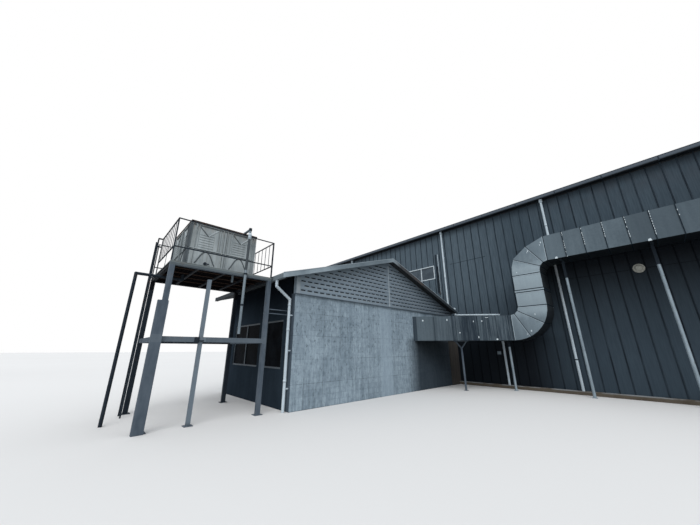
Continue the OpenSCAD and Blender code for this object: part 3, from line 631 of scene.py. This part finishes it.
FINISH = {
    "clad": clad_finish(),
    "rib": rib_finish(),
    "trim": trim_finish(),
    "hall_roof": roof_finish("hall_roof_sheet", (78, 84, 90), (108, 114, 118)),
    "annex_roof": roof_finish("annex_roof_sheet", (104, 112, 116), (140, 148, 151)),
    "masonry": masonry_finish(),
    "side_masonry": side_masonry_finish(),
    "siding": siding_finish(),
    "slot": slot_finish(),
    "verge": verge_finish(),
    "verge_edge": plain_finish("verge_top_edge", (112, 124, 132), (150, 162, 169), 0.6),
    "siding_trim": siding_trim_finish(),
    "eave_gutter": eave_gutter_finish(),
    "white_pipe": pipe_finish(),
    "white_frame": plain_finish("white_frame", (172, 184, 192), (212, 221, 226), 0.4),
    "duct": duct_finish("duct_sheet", (78, 91, 100), (106, 120, 129), run=True),
    "duct_pale": duct_finish("duct_sheet_pale", (118, 133, 143), (158, 174, 182)),
    "seam": plain_finish("duct_seam", (18, 25, 32), (44, 54, 62), 0.7, shine=0.02),
    # painted highlight beside the duct's seams
    "lip": plain_finish("duct_seam_highlight", (138, 152, 161), (176, 190, 198), 0.5, scale=2.5),
    "sealant": plain_finish("sealant", (178, 192, 200), (218, 228, 232), 0.7),
    "post": post_finish(),
    "dark_steel": plain_finish("dark_steel", (24, 30, 37), (50, 58, 66), 0.65, rust=0.1, shine=0.03),
    "tower": tower_finish(),
    "deck": deck_finish(),
    # painted shade: the ribs under the deck near black
    "deck_under": plain_finish("deck_underside", (6, 6, 9), (26, 22, 24), 0.95, scale=3.0, shine=0.0),
    "batten": plain_finish("rusty_batten", (44, 38, 38), (84, 68, 60), 0.9, scale=3.0, shine=0.0),
    "tank": tank_finish(),
    # painted shade beside the tank's flanges and pressed shapes
    "tank_line": plain_finish("tank_shade_line", (66, 74, 80), (106, 112, 114), 0.8, shine=0.0),
    # painted highlight on one arm of each pressed V
    "tank_pale": plain_finish("tank_fold_highlight", (150, 160, 164), (184, 192, 196), 0.6),
    "rust": plain_finish("rusty_rim", (28, 25, 26), (66, 54, 48), 0.85, rust=0.4,
                         rust_tone=(122, 86, 58), bump=0.3, shine=0.02),
    "kerb": concrete_finish("kerb_concrete", (70, 64, 56), (104, 96, 85), kerb=True),
    "floor": concrete_finish("floor_concrete", (96, 97, 95), (128, 128, 124)),
    "brown": board_finish(),
    "hall_glass": glass_finish("hall_window_glass", (58, 69, 78), (80, 92, 101), 0.2),
    "annex_glass": glass_finish("annex_window_glass", (5, 7, 11), (20, 25, 31), 0.004),
    "window": plain_finish("window_frame", (56, 64, 72), (86, 96, 104), 0.55),
    "lamp": plain_finish("lamp_cover", (58, 60, 57), (208, 208, 198), 0.5, scale=17.0),
    "overflow": overflow_finish(),
}

NODES_OF = {
    "clad": "hall_front_wall hall_rear_wall hall_near_end_wall hall_far_end_wall",
    "hall_roof": "hall_front_roof_slope hall_rear_roof_slope",
    "trim": "hall_ridge_cap hall_gutters hall_verge_trims",
    "kerb": "hall_kerb",
    "white_frame": "hall_window_frame",
    "hall_glass": "hall_window_glass",
    "white_pipe": "hall_downpipes diverted_downpipe annex_downpipe",
    "lamp": "wall_lamp",
    "masonry": "annex_gable_wall annex_rear_wall",
    "siding": "annex_gable_siding",
    "side_masonry": "annex_side_wall",
    "floor": "annex_floor",
    "annex_roof": "annex_left_roof_slope annex_right_roof_slope",
    "verge": "annex_verge_boards",
    "siding_trim": "annex_siding_trims",
    "eave_gutter": "annex_gutter",
    "window": "annex_window_frames",
    "annex_glass": "annex_window_glass",
    "brown": "annex_end_panel",
    "duct": "duct_lower_run duct_upper_run",
    "duct_pale": "duct_lower_bend duct_riser duct_upper_bend",
    "seam": "duct_joint_flanges",
    "post": "duct_posts",
    "dark_steel": "wall_conduits duct_post_heads tower_guard_rails tower_ladder tank_inlet_pipe",
    "tower": "duct_forked_post tower_columns tower_beams tower_ties tower_service_box",
    "deck": "tower_deck",
    "tank": "water_tank",
    "rust": "tank_lid",
    "overflow": "tank_overflow_pipe",
}


def dress_nodes():
    for finish, names in NODES_OF.items():
        for name in names.split():
            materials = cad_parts[name].data.materials
            materials.clear()
            materials.append(FINISH[finish])


# Mesh building

# turns of the corners of an eight-sided dab
EIGHTHS = [math.pi * i / 4 for i in range(8)]


def add(name, data):
    """New object in the scene."""
    obj = bpy.data.objects.new(name, data)
    bpy.context.scene.collection.objects.link(obj)
    return obj


class Piece:
    """Many small solids gathered in one mesh."""

    def __init__(self, name):
        self.name, self.bm = name, bmesh.new()

    def solid(self, corners, faces):
        made = [self.bm.verts.new(c) for c in corners]
        for face in faces:
            self.bm.faces.new([made[i] for i in face])

    def prism(self, outline, shift):
        """Closed outline of points carried along a shift."""
        n = len(outline)
        shift = Vector(shift)
        low = [Vector(p) for p in outline]
        faces = [tuple(range(n))[::-1], tuple(range(n, 2 * n))]
        faces += [(i, (i + 1) % n, n + (i + 1) % n, n + i) for i in range(n)]
        self.solid(low + [p + shift for p in low], faces)

    def box(self, lo, hi):
        (x0, y0, z0), (x1, y1, z1) = lo, hi
        self.prism([(x0, y0, z0), (x1, y0, z0), (x1, y1, z0), (x0, y1, z0)], (0, 0, z1 - z0))

    def tube(self, a, b, radius, sides=14):
        a, b = Vector(a), Vector(b)
        way = (b - a).to_track_quat("Z", "Y").to_matrix()
        ring = [a + way @ Vector((radius * math.cos(t), radius * math.sin(t), 0))
                for t in (2 * math.pi * i / sides for i in range(sides))]
        self.prism(ring, b - a)

    def place(self, finish, slot, smooth=False):
        bmesh.ops.recalc_face_normals(self.bm, faces=self.bm.faces)
        mesh = bpy.data.meshes.new(self.name)
        self.bm.to_mesh(mesh)
        self.bm.free()
        if smooth:
            for face in mesh.polygons:
                face.use_smooth = len(face.vertices) == 4
        mesh.materials.append(FINISH[finish])
        obj = add(self.name, mesh)
        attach(obj, "root")


# Hall

RIB_BASE, RIB_TOP, RIB_OUT = 0.05, 0.024, 0.022


def wall_rib(piece, foot, out, along, top):
    """Upright folded rib from a place on the wall's face. out and along are unit vectors."""
    foot, out, along = Vector(foot), Vector(out), Vector(along)
    section = [foot - along * RIB_BASE / 2, foot - along * RIB_TOP / 2 + out * RIB_OUT,
               foot + along * RIB_TOP / 2 + out * RIB_OUT, foot + along * RIB_BASE / 2]
    piece.prism(section, (0, 0, top - foot.z))


def hall_ribs():
    piece = Piece("hall_wall_ribs")
    window_lo, window_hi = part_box("hall_window_frame")
    for i in range(int((FAR_HI.y - NEAR_Y) / RIB_STEP - RIB_PHASE) + 1):
        y = NEAR_Y + RIB_STEP * (i + RIB_PHASE)
        spans = [(KERB_HI.z, GUTTER_LO.z)]
        if GABLE_LO.y - 0.5 < y < BACK_HI.y + 0.4:
            spans = [(roof_height(HALL_X - 0.3) + 0.02, GUTTER_LO.z)]
        if window_lo.y - 0.04 < y < window_hi.y + 0.04:
            spans = [(spans[0][0], window_lo.z), (window_hi.z, GUTTER_LO.z)]
        for low, high in spans:
            wall_rib(piece, (HALL_X, y, low), (-1, 0, 0), (0, 1, 0), high)
        wall_rib(piece, (REAR_HI.x, y, 0), (1, 0, 0), (0, 1, 0), GUTTER_LO.z)
    half = (NEAR_HI.x - NEAR_LO.x) / 2
    rise = (NEAR_HI.z - WALL_HI.z) / (half - 0.2)
    for i in range(int(2 * half / RIB_STEP - RIB_PHASE) + 1):
        x = NEAR_LO.x + RIB_STEP * (i + RIB_PHASE)
        top = NEAR_HI.z - rise * abs(x - NEAR_LO.x - half) - 0.17
        wall_rib(piece, (x, NEAR_Y, 0), (0, -1, 0), (1, 0, 0), top)
        wall_rib(piece, (x, FAR_HI.y, 0), (0, 1, 0), (1, 0, 0), top)
    piece.place("rib", "dark_cladding")


def sheet_laps():
    """Thin steps where one length of cladding laps over the next."""
    piece = Piece("cladding_laps")
    for y0, y1, z in ((NEAR_Y + 0.2, RISER_LO.y - 0.1, RUN_LO.z - 0.78),
                      (RISER_HI.y + 1.7, GABLE_LO.y - 0.15, RUN_HI.z + 0.1)):
        piece.box((HALL_X - 0.008, y0, z), (HALL_X, y1, z + 0.022))
    piece.place("rib", "dark_cladding")


def wall_marks():
    """A thin light tube beside the hall's window, and the light cover of the small wall box."""
    piece = Piece("wall_tube")
    y = GABLE_LO.y + 0.69
    piece.tube((HALL_X - 0.03, y, roof_height(HALL_X - 0.3) + 0.6), (HALL_X - 0.03, y, 8.25), 0.014, 10)
    piece.place("white_pipe", "white_pipe", smooth=True)
    cover = Piece("wall_box_cover")
    y, z = CONDUIT_LO.y, CONDUIT_LO.z
    cover.box((CONDUIT_LO.x - 0.006, y + 0.012, z + 0.045), (CONDUIT_LO.x, y + 0.208, z + 0.2))
    cover.box((CONDUIT_LO.x - 0.01, y + 0.05, z + 0.08), (CONDUIT_LO.x, y + 0.17, z + 0.165))
    cover.place("overflow", "grey_plastic")


def roof_rib(piece, low, high, base, crest, height):
    """Standing rib of a roof sheet between two places on it. base and crest are half widths."""
    low, high = Vector(low), Vector(high)
    section = ((-base, 0), (-crest, height), (crest, height), (base, 0))
    piece.prism([low + Vector((0, side, up)) for side, up in section], high - low)


def hall_roof_ribs():
    piece = Piece("hall_roof_ribs")
    eave, ridge = FRONT_SLOPE_LO.x, FRONT_SLOPE_HI.x
    foot, top = FRONT_SLOPE_LO.z + HALL_ROOF_T, FRONT_SLOPE_HI.z
    length = ridge - eave - 0.36
    end = foot + (top - foot) / (ridge - eave) * length
    for i in range(int((FAR_HI.y - NEAR_Y) / RIB_STEP)):
        y = FRONT_SLOPE_LO.y + RIB_STEP * (i + 0.5)
        for start, way in ((eave, 1), (2 * ridge - eave, -1)):
            roof_rib(piece, (start, y, foot), (start + way * length, y, end), 0.03, 0.015, 0.022)
    piece.place("hall_roof", "trim_grey")


def annex_roof_ribs():
    """Ribs of the annex's roof sheets, and the folded cap over its ridge."""
    piece = Piece("annex_roof_ribs")
    y0, y1 = LEFT_ROOF_LO.y, LEFT_ROOF_HI.y
    for side, edge in ((-1, LEFT_ROOF_LO.x), (1, RIGHT_ROOF_HI.x)):
        top = RIDGE + side * 0.16
        for i in range(int((y1 - y0) / ANNEX_RIB_STEP)):
            y = y0 + 0.13 + ANNEX_RIB_STEP * i
            roof_rib(piece, (edge, y, roof_height(edge)), (top, y, roof_height(top)), 0.035, 0.015, 0.018)
        a = Vector((RIDGE, y0, LEFT_ROOF_HI.z))
        b = Vector((RIDGE + side * 0.2, y0, roof_height(RIDGE + side * 0.2) + 0.012))
        piece.prism([a, b, b + Vector((0, 0, 0.012)), a + Vector((0, 0, 0.03))], (0, y1 - y0, 0))
    piece.place("annex_roof", "roof_sheet")


def gutter_joints():
    """Bracket straps over the gutter's face, at every fourth rib of the wall."""
    piece = Piece("gutter_joint_straps")
    y = GUTTER_LO.y + 0.69
    while y < GUTTER_HI.y - 0.3:
        piece.box((GUTTER_LO.x - 0.004, y - 0.018, GUTTER_LO.z - 0.03),
                  (GUTTER_LO.x + 0.03, y + 0.018, GUTTER_HI.z - 0.05))
        y += 4 * RIB_STEP
    piece.place("dark_steel", "trim_grey")


# Annex

SLOT_STEP, SLOT_LEN = 0.294, 0.19
BOARD_FOOT_OUT, BOARD_TOP_OUT = 0.01, 0.002


def siding_rows():
    """Lap boards on the gable, with staggered slots and a light lip below each slot, a painted highlight."""
    boards, slots, highlight_lips = (Piece("front_siding_" + part) for part in ("boards", "slots", "highlight_lips"))
    face, left, right = SIDING_LO.y, SIDING_LO.x, SIDING_HI.x

    def ends(z):
        """Left and right ends of a row at a height, under the roof."""
        drop = LEFT_ROOF_HI.z - z - 0.125
        return max(left, RIDGE - drop / LEFT_FALL), min(right, RIDGE + drop / RIGHT_FALL)

    def strip(piece, x, low, high, out):
        piece.box((x, face - BOARD_TOP_OUT, low), (x + SLOT_LEN, face - out, high))

    row = 0
    while True:
        low, high = SIDING_LO.z + SIDING_ROW * row, SIDING_LO.z + SIDING_ROW * (row + 1)
        (l0, r0), (l1, r1) = ends(low), ends(high)
        if r1 - l1 < 0.5:
            break
        foot, top = face - BOARD_FOOT_OUT, face - BOARD_TOP_OUT
        boards.solid([(l0, face, low), (r0, face, low), (r1, face, high), (l1, face, high),
                      (l0, foot, low), (r0, foot, low), (r1, top, high), (l1, top, high)],
                     [(0, 1, 2, 3), (7, 6, 5, 4), (0, 4, 5, 1), (1, 5, 6, 2), (2, 6, 7, 3), (3, 7, 4, 0)])
        x = left + 0.2 + (SLOT_STEP / 2 if row % 2 else 0.0)
        while x < r1 - 0.14:
            if x > l1 + 0.05 and abs(x + SLOT_LEN / 2 - RIDGE) > SLOT_LEN / 2 + 0.04:
                strip(slots, x, high - 0.058, high - 0.014, 0.0105)
                # light lip below the slot: painted highlight
                strip(highlight_lips, x, high - 0.078, high - 0.058, 0.014)
            x += SLOT_STEP
        row += 1
    boards.place("siding", "grey_siding")
    slots.place("slot", "dark_steel")
    highlight_lips.place("siding_trim", "grey_siding")


def verge_edges():
    """Thin light strip along the top of the front verge board."""
    piece = Piece("verge_top_strips")
    front = LEFT_ROOF_LO.y - 0.03
    for a, b in ((LEFT_ROOF_LO.x - 0.1, RIDGE), (RIDGE, RIGHT_ROOF_HI.x)):
        za, zb = roof_height(a) - 0.006, roof_height(b) - 0.006
        piece.prism([(a, front, za), (b, front, zb), (b, front, zb + 0.028), (a, front, za + 0.028)],
                    (0, -0.006, 0))
    piece.place("verge_edge", "pale_board")


# Duct

class DuctSeams:
    """Narrow raised seams on the duct's four sides."""

    def __init__(self):
        self.piece, self.highlight_lips = Piece("duct_bend_seams"), Piece("duct_seam_lips")

    def band(self, a, b, half=0.014, proud=0.01):
        """Seam between two places in Y and Z, on both cheeks and over throat and heel."""
        a, b = Vector((0, *a)), Vector((0, *b))
        way = (b - a).normalized()
        across = Vector((0, -way.z, way.y)) * half
        x0, x1 = RISER_LO.x, RISER_HI.x
        for x, out in ((x0, -proud), (x1, proud)):
            lift = Vector((x, 0, 0))
            self.piece.prism([a - across + lift, b - across + lift, b + across + lift, a + across + lift],
                             (out, 0, 0))
            # light strip beside the seam on each cheek: painted highlight
            side = across * (1 if across.z < 0 else -1)
            self.highlight_lips.prism([a + side + lift, b + side + lift, b + side * 2.8 + lift, a + side * 2.8 + lift],
                            (out * 0.8, 0, 0))
        for p, push in ((a, way * -proud), (b, way * proud)):
            start = Vector((x0 - proud, 0, 0))
            self.piece.prism([p - across + start, p + across + start, p + across + push + start,
                              p - across + push + start], (DUCT_W + 2 * proud, 0, 0))

    def spoke(self, centre, inner_angle, outer_angle, outer_share=1.0):
        """Seam from the throat to the heel of a bend, angles in degrees."""
        s, t = math.radians(inner_angle), math.radians(outer_angle)
        r = OUTER_R * outer_share
        self.band((centre[0] + INNER_R * math.cos(s), centre[1] + INNER_R * math.sin(s)),
                  (centre[0] + r * math.cos(t), centre[1] + r * math.sin(t)))


def duct_seams():
    seams = DuctSeams()
    for inner, outer, share in ((60, 58, 0.94), (28, 27, 1.008), (90, 90, 1.0)):
        seams.spoke(HIGH_CENTRE, inner, outer, share)
    for inner, outer in ((212, 212), (243, 243), (270, 270)):
        seams.spoke(LOW_CENTRE, inner, outer)
    for z in (RISER_TOP, RISER_FOOT, COLLAR_Z - 0.012, COLLAR_Z + 0.107):
        seams.band((RISER_LO.y, z), (RISER_HI.y, z), 0.019)
    seams.piece.place("seam", "duct_sheet")
    seams.highlight_lips.place("lip", "duct_sheet_pale")
    collar = Piece("riser_collar_band")
    thin, proud = 0.002, 0.0185
    y0, y1 = RISER_LO.y - 0.018, RISER_HI.y + 0.018
    for x in (RISER_LO.x - proud - thin, RISER_HI.x + proud):
        collar.box((x, y0, COLLAR_Z + 0.01), (x + thin, y1, COLLAR_Z + 0.085))
    collar.place("duct_pale", "duct_sheet_pale")


def sealant():
    """Dabs and dashes of white sealant along the seams, as the sheet workers left them."""
    piece = Piece("sealant_dabs")
    face = RISER_LO.x

    def dab(y, z, w, h, x=face):
        ring = [Vector((x, y + w * math.cos(t) * random.uniform(0.7, 1.2),
                        z + h * math.sin(t) * random.uniform(0.8, 1.2)))
                for t in EIGHTHS]
        piece.prism(ring, (-0.007, 0, 0))

    # dashes on each seam of the run: their top and foot as shares of its height, and how dense they are
    for i, (top, foot, chance) in enumerate(((0.95, 0.0, 0.7), (0.93, 0.2, 0.85), (0.97, 0.4, 0.8),
                                             (0.96, 0.1, 0.8), (0.96, 0.15, 0.95), (0.8, 0.6, 0.6),
                                             (0.95, 0.5, 0.3), (0.9, 0.1, 0.4), (0.9, 0.3, 0.5))):
        y = FIRST_SEAM - SHEET_LEN * i - 0.02
        z = RUN_LO.z + DUCT_W * top
        while z > RUN_LO.z + DUCT_W * foot:
            if random.random() < chance:
                dab(y + random.uniform(-0.006, 0.006), z, 0.010, random.uniform(0.03, 0.05), face - 0.018)
            z -= 0.105
    # way from the hall's near end, height, half width and half height of each dab
    for d, z, w, h in ((9.10, 6.97, 0.02, 0.05), (9.157, 6.85, 0.02, 0.03), (9.714, 6.67, 0.03, 0.04),
                       (9.76, 6.6, 0.02, 0.02), (10.371, 5.683, 0.02, 0.035), (9.922, 3.543, 0.018, 0.05),
                       (10.192, 2.783, 0.03, 0.045), (10.392, 2.637, 0.02, 0.03)):
        dab(NEAR_Y + d, z, w, h)
    piece.place("sealant", "duct_sheet_pale")
    patches = Piece("taped_edge_patches")
    for d in (5.53, 8.6):
        y, z = NEAR_Y + d, RUN_LO.z
        corners = ((-0.05, -0.012), (0.06, -0.012), (0.05, 0.07), (-0.03, 0.085))
        patches.prism([(face - 0.006, y + dy, z + dz) for dy, dz in corners], (0.006, 0, 0))
    patches.place("sealant", "duct_sheet_pale")


def lower_run_details():
    """Seams and sealant dabs on the slanted face of the lower run."""
    a = Vector((LOW_RUN_LO.x, LOW_RUN_HI.y, 0))
    b = Vector((RISER_LO.x, LOW_BEND_HI.y + 0.09, 0))
    way = (b - a).normalized()
    length = (b - a).length
    out = Vector((way.y, -way.x, 0))
    seams, dabs = Piece("lower_run_seams"), Piece("lower_run_dabs")
    for share in (0.225, 0.415, 0.45, 0.565, 0.675, 0.775, 0.862, 0.985):
        foot = a + way * (length * share) + Vector((0, 0, LOW_RUN_LO.z))
        half, proud = way * 0.009, out * 0.008
        seams.prism([foot - half, foot + half, foot + half + proud, foot - half + proud],
                    (0, 0, LOW_RUN_HI.z - LOW_RUN_LO.z))
    # share along the run, height above the ground, half width and half height of each dab
    for share, z, w, h in ((0.108, 3.372, 0.04, 0.045), (0.364, 3.396, 0.03, 0.05),
                           (0.636, 3.303, 0.02, 0.04), (0.721, 3.318, 0.03, 0.035),
                           (0.484, 2.747, 0.03, 0.03), (0.67, 2.528, 0.02, 0.06),
                           (0.851, 2.42, 0.05, 0.04), (0.774, 3.495, 0.09, 0.012)):
        p = a + way * (length * share) + Vector((0, 0, z))
        ring = [p + way * (w * math.cos(t)) + Vector((0, 0, h * math.sin(t)))
                for t in EIGHTHS]
        dabs.prism(ring, out * 0.009)
    seams.place("seam", "duct_sheet")
    dabs.place("sealant", "duct_sheet_pale")


# Tank tower

PANEL_JOINT = TANK_LO.z + 0.564


def on_tank(side, u, z, out=0.0):
    """Place on one side of the tank, u along it from its left end and out from its sheet."""
    lo, hi = TANK_LO, TANK_HI
    return {"front": (lo.x + u, lo.y - out, z), "rear": (lo.x + u, hi.y + out, z),
            "left": (lo.x - out, lo.y + u, z), "right": (hi.x + out, lo.y + u, z)}[side]


def tank_panels():
    """Edge strips, joint flanges and the shapes pressed into the tank's panels, with dark lines of painted
    shade beside them and one pale arm of painted highlight.
    """
    sheet, lines = Piece("tank_flanges_and_ribs"), Piece("tank_shade_lines")
    pale = Piece("tank_pale_folds")
    size = TANK_HI.x - TANK_LO.x
    half = size / 2
    foot, top = TANK_LO.z, TANK_HI.z

    def put(piece, u, width, low, high, out):
        piece.box(on_tank(side, u, low), on_tank(side, u + width, high, out))

    def stroke(piece, u0, z0, u1, z1, radius):
        piece.tube(on_tank(side, u0, z0), on_tank(side, u1, z1), radius, 8)

    for side in ("front", "rear", "left", "right"):
        for u, width in ((0.0, 0.03), (0.13, 0.02), (half - 0.075, 0.022), (half + 0.05, 0.022),
                         (size - 0.14, 0.016), (size - 0.075, 0.02), (size - 0.03, 0.03)):
            put(sheet, u, width, foot, top - 0.06, 0.028)
            put(lines, u + width, 0.014, foot, top - 0.06, 0.006)
        for u in (half - 0.053, half + 0.036):
            put(lines, u, 0.018, foot, top - 0.06, 0.012)
        for z, height in ((foot + 0.03, 0.02), (PANEL_JOINT - 0.012, 0.022), (top - 0.06, 0.057)):
            put(sheet, 0, size, z, z + height, 0.026)
        put(lines, 0, size, foot, foot + 0.03, 0.012)
        put(lines, 0, size, top - 0.1, top - 0.065, 0.012)
        put(lines, 0, size, PANEL_JOINT - 0.03, PANEL_JOINT - 0.014, 0.008)
        for mid in (half / 2, half * 3 / 2):
            for du in (-0.36, -0.3, 0.3, 0.36):
                put(sheet, mid + du, 0.016, PANEL_JOINT + 0.04, top - 0.06, 0.014)
                put(lines, mid + du + 0.016, 0.01, PANEL_JOINT + 0.04, top - 0.1, 0.005)
            for k in range(6):
                z = PANEL_JOINT + 0.06 + 0.082 * k
                put(lines, mid - 0.25, 0.43, z, z + 0.012, 0.003)
                put(sheet, mid - 0.25, 0.43, z + 0.012, z + 0.045, 0.006)
            # the pressed V: its left arm a dark line of painted shade, its right arm a pale painted
            # highlight
            for turn, piece in ((-1, lines), (1, pale)):
                stroke(piece, mid, PANEL_JOINT + 0.47, mid + turn * 0.28, top - 0.12, 0.018)
            bell = [(mid + 0.29 * s, foot + 0.09 + 0.42 * (1 - abs(s) ** 1.9) ** 1.25)
                    for s in (k / 7 - 1 for k in range(15))]
            for p, q in zip(bell, bell[1:]):
                stroke(lines, *p, *q, 0.02)
    sheet.place("tank", "tank_sheet")
    lines.place("tank_line", "tank_sheet")
    pale.place("tank_pale", "tank_sheet")


def tank_outlet():
    """Short outlet with its lever, low on the tank's front."""
    piece = Piece("tank_outlet")
    u, z = 0.53, TANK_LO.z + 0.12
    piece.tube(on_tank("front", u, z), on_tank("front", u, z, 0.05), 0.045, 12)
    piece.tube(on_tank("front", u, z, 0.03), on_tank("front", u + 0.12, z, 0.03), 0.018, 10)
    piece.place("dark_steel", "dark_steel")


def tank_rim():
    piece = Piece("tank_rim_bolts")
    count = 16
    for i in range(count):
        t = (i + 0.5) / count
        x, y = LID_LO.x + t * (LID_HI.x - LID_LO.x), LID_LO.y + t * (LID_HI.y - LID_LO.y)
        for px, py in ((x, LID_LO.y), (x, LID_HI.y), (LID_LO.x, y), (LID_HI.x, y)):
            piece.box((px - 0.02, py - 0.02, LID_LO.z - 0.02), (px + 0.02, py + 0.02, LID_LO.z + 0.012))
    piece.place("rust", "rusty_lid")


def deck_underside():
    """Ribs of the deck sheet and the cross battens below it."""
    piece = Piece("deck_sheet_ribs")
    z = DECK_LO.z
    x, step = COLUMN_LO.x + 0.22, 0.105
    while x < DECK_HI.x - 0.2:
        piece.box((x, DECK_LO.y + 0.135, z - 0.028), (x + 0.05, DECK_HI.y - 0.135, z - 0.0005))
        x += step
    piece.place("deck_under", "deck_plate")
    piece = Piece("deck_battens")
    for i in range(4):
        y = DECK_LO.y + 0.5 + 0.62 * i
        piece.box((DECK_LO.x + 0.12, y, z - 0.056), (DECK_HI.x - 0.12, y + 0.022, z - 0.028))
    piece.place("batten", "deck_plate")


def tower_fittings():
    """Pipe fittings on the overflow pipe, and the clamp on the middle post."""
    x = OVERFLOW_HI.x - 0.046
    y = OVERFLOW_LO.y + 0.046
    pale = Piece("overflow_fitting")
    pale.tube((x, y, TANK_HI.z - 0.24), (x, y, TANK_HI.z - 0.02), 0.055, 18)
    pale.tube((x, y, TANK_HI.z - 0.1), (x, y, TANK_HI.z - 0.06), 0.064, 18)
    pale.place("white_pipe", "grey_plastic", smooth=True)
    dark = Piece("overflow_rings")
    for z in (DECK_LO.z - 0.04, 3.28):
        dark.tube((x, y, z), (x, y, z + 0.05), 0.056, 18)
    dark.tube((x, y, OVERFLOW_HI.z - 0.1), (x, y, OVERFLOW_HI.z - 0.004), 0.052, 18)
    dark.place("dark_steel", "dark_steel", smooth=True)
    clamp = Piece("middle_post_clamp")
    x, y, z = COLUMN_LO.x + 1.125, COLUMN_LO.y + 0.06, 2.21
    clamp.box((x - 0.12, y - 0.03, z - 0.09), (x, y + 0.01, z + 0.07))
    clamp.box((x - 0.02, y - 0.045, z - 0.05), (x + 0.12, y, z - 0.02))
    clamp.place("dark_steel", "dark_steel")


def pipe_sockets():
    """Sockets and gutter outlets of the white pipes, and one dark coupling."""
    piece = Piece("pipe_sockets")
    pipe_x = HALL_X - 0.12

    def socket(x, y, z, length=0.1, radius=0.062):
        piece.tube((x, y, z), (x, y, z + length), radius, 18)

    straight_lo, straight_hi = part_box("hall_downpipes")
    led_lo, led_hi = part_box("diverted_downpipe")
    near, far, led = straight_lo.y + 0.09, straight_hi.y - 0.09, led_hi.y - 0.09
    for y in (near, far):
        for z in (4.9, 8.2):
            socket(pipe_x, y, z)
    for y in (near, far, led):
        socket(pipe_x, y, GUTTER_LO.z - 0.17, 0.168, 0.082)
    for y, z in ((led, 6.46), (led, 8.6), (led_lo.y + 0.059, 2.2), (led_lo.y + 0.059, 3.3)):
        socket(pipe_x, y, z)
    for z in (0.9, 2.55, 3.42):
        socket(GABLE_LO.x - 0.135, GABLE_LO.y + 0.13, z, 0.08, 0.056)
    piece.place("white_pipe", "white_pipe", smooth=True)
    ring = Piece("pipe_coupling_rings")
    ring.tube((pipe_x, near, 1.47), (pipe_x, near, 1.52), 0.06, 18)
    ring.place("dark_steel", "dark_steel", smooth=True)


# Stage, light and camera

EYE = Vector((HALL_X - 17.0, NEAR_Y + 6.08, 1.94))
FOCAL_PX, WIDTH_PX, PITCH, YAW = 278.7, 700, 17.32, 42.83
SENSOR = 36
FLOOR_HALF, FLOOR_Z = 260, -0.002
SKY_LOW, SKY_RISE, SUN_POWER = 0.82, 0.42, 1.6


def camera():
    data = bpy.data.cameras.new("camera")
    data.sensor_width = SENSOR
    data.lens = FOCAL_PX * SENSOR / WIDTH_PX
    obj = add("camera", data)
    p, y = math.radians(PITCH), math.radians(YAW)
    look = Vector((math.sin(y) * math.cos(p), math.cos(y) * math.cos(p), math.sin(p)))
    right = Vector((math.cos(y), -math.sin(y), 0))
    up = right.cross(look)
    turn = Matrix((right, up, -look)).transposed()
    obj.matrix_world = Matrix.Translation(EYE) @ turn.to_4x4()
    data.clip_start, data.clip_end = 0.1, 500
    bpy.context.scene.camera = obj


def floor():
    """Plain floor: pale to the eye, and no brighter than bare ground as a source of light."""
    mesh = bpy.data.meshes.new("floor")
    corners = ((-1, -1), (1, -1), (1, 1), (-1, 1))
    mesh.from_pydata([(x * FLOOR_HALF, y * FLOOR_HALF, FLOOR_Z) for x, y in corners], [], [(0, 1, 2, 3)])
    f = Finish("pale_floor", roughness=0.95)
    pale = f.mix(f.noise(0.05, 2.0), (203.41, 203.41, 202.64), (212.23, 212.23, 211.52))
    f.coat(f.seen_directly(), (169.62, 169.62, 167.67), pale)
    mesh.materials.append(f.done())
    obj = add("floor", mesh)


def light():
    """Soft overcast dome, a little brighter overhead, and one wide soft sun."""
    world = bpy.data.worlds.new("sky")
    bpy.context.scene.world = world
    world.use_nodes = True
    sky = Nodes(world.node_tree)
    up = sky.split(sky.node("ShaderNodeTexCoord", {}, {}).outputs["Generated"])[2]
    dome = sky.node("ShaderNodeBackground", {}, {
        "Color": (0.93, 0.96, 1.0, 1), "Strength": up * up * SKY_RISE + SKY_LOW})
    white = sky.node("ShaderNodeBackground", {}, {"Color": (1, 1, 1, 1), "Strength": 1.0})
    blend = sky.node("ShaderNodeMixShader", {}, {
        0: sky.seen_directly(), 1: dome.outputs[0], 2: white.outputs[0]})
    sky.node("ShaderNodeOutputWorld", {}, {"Surface": blend.outputs[0]})
    sun = bpy.data.lights.new("soft_sun", "SUN")
    sun.energy, sun.angle = SUN_POWER, math.radians(40)
    obj = add("soft_sun", sun)
    obj.rotation_euler = Vector((0.6, 0.62, -1.0)).to_track_quat("-Z", "Y").to_euler()


camera()
floor()
light()
dress_nodes()
hall_ribs()
sheet_laps()
wall_marks()
hall_roof_ribs()
annex_roof_ribs()
gutter_joints()
siding_rows()
verge_edges()
duct_seams()
sealant()
lower_run_details()
tank_panels()
tank_outlet()
tank_rim()
deck_underside()
tower_fittings()
pipe_sockets()
bpy.context.scene.view_settings.view_transform = "Standard"
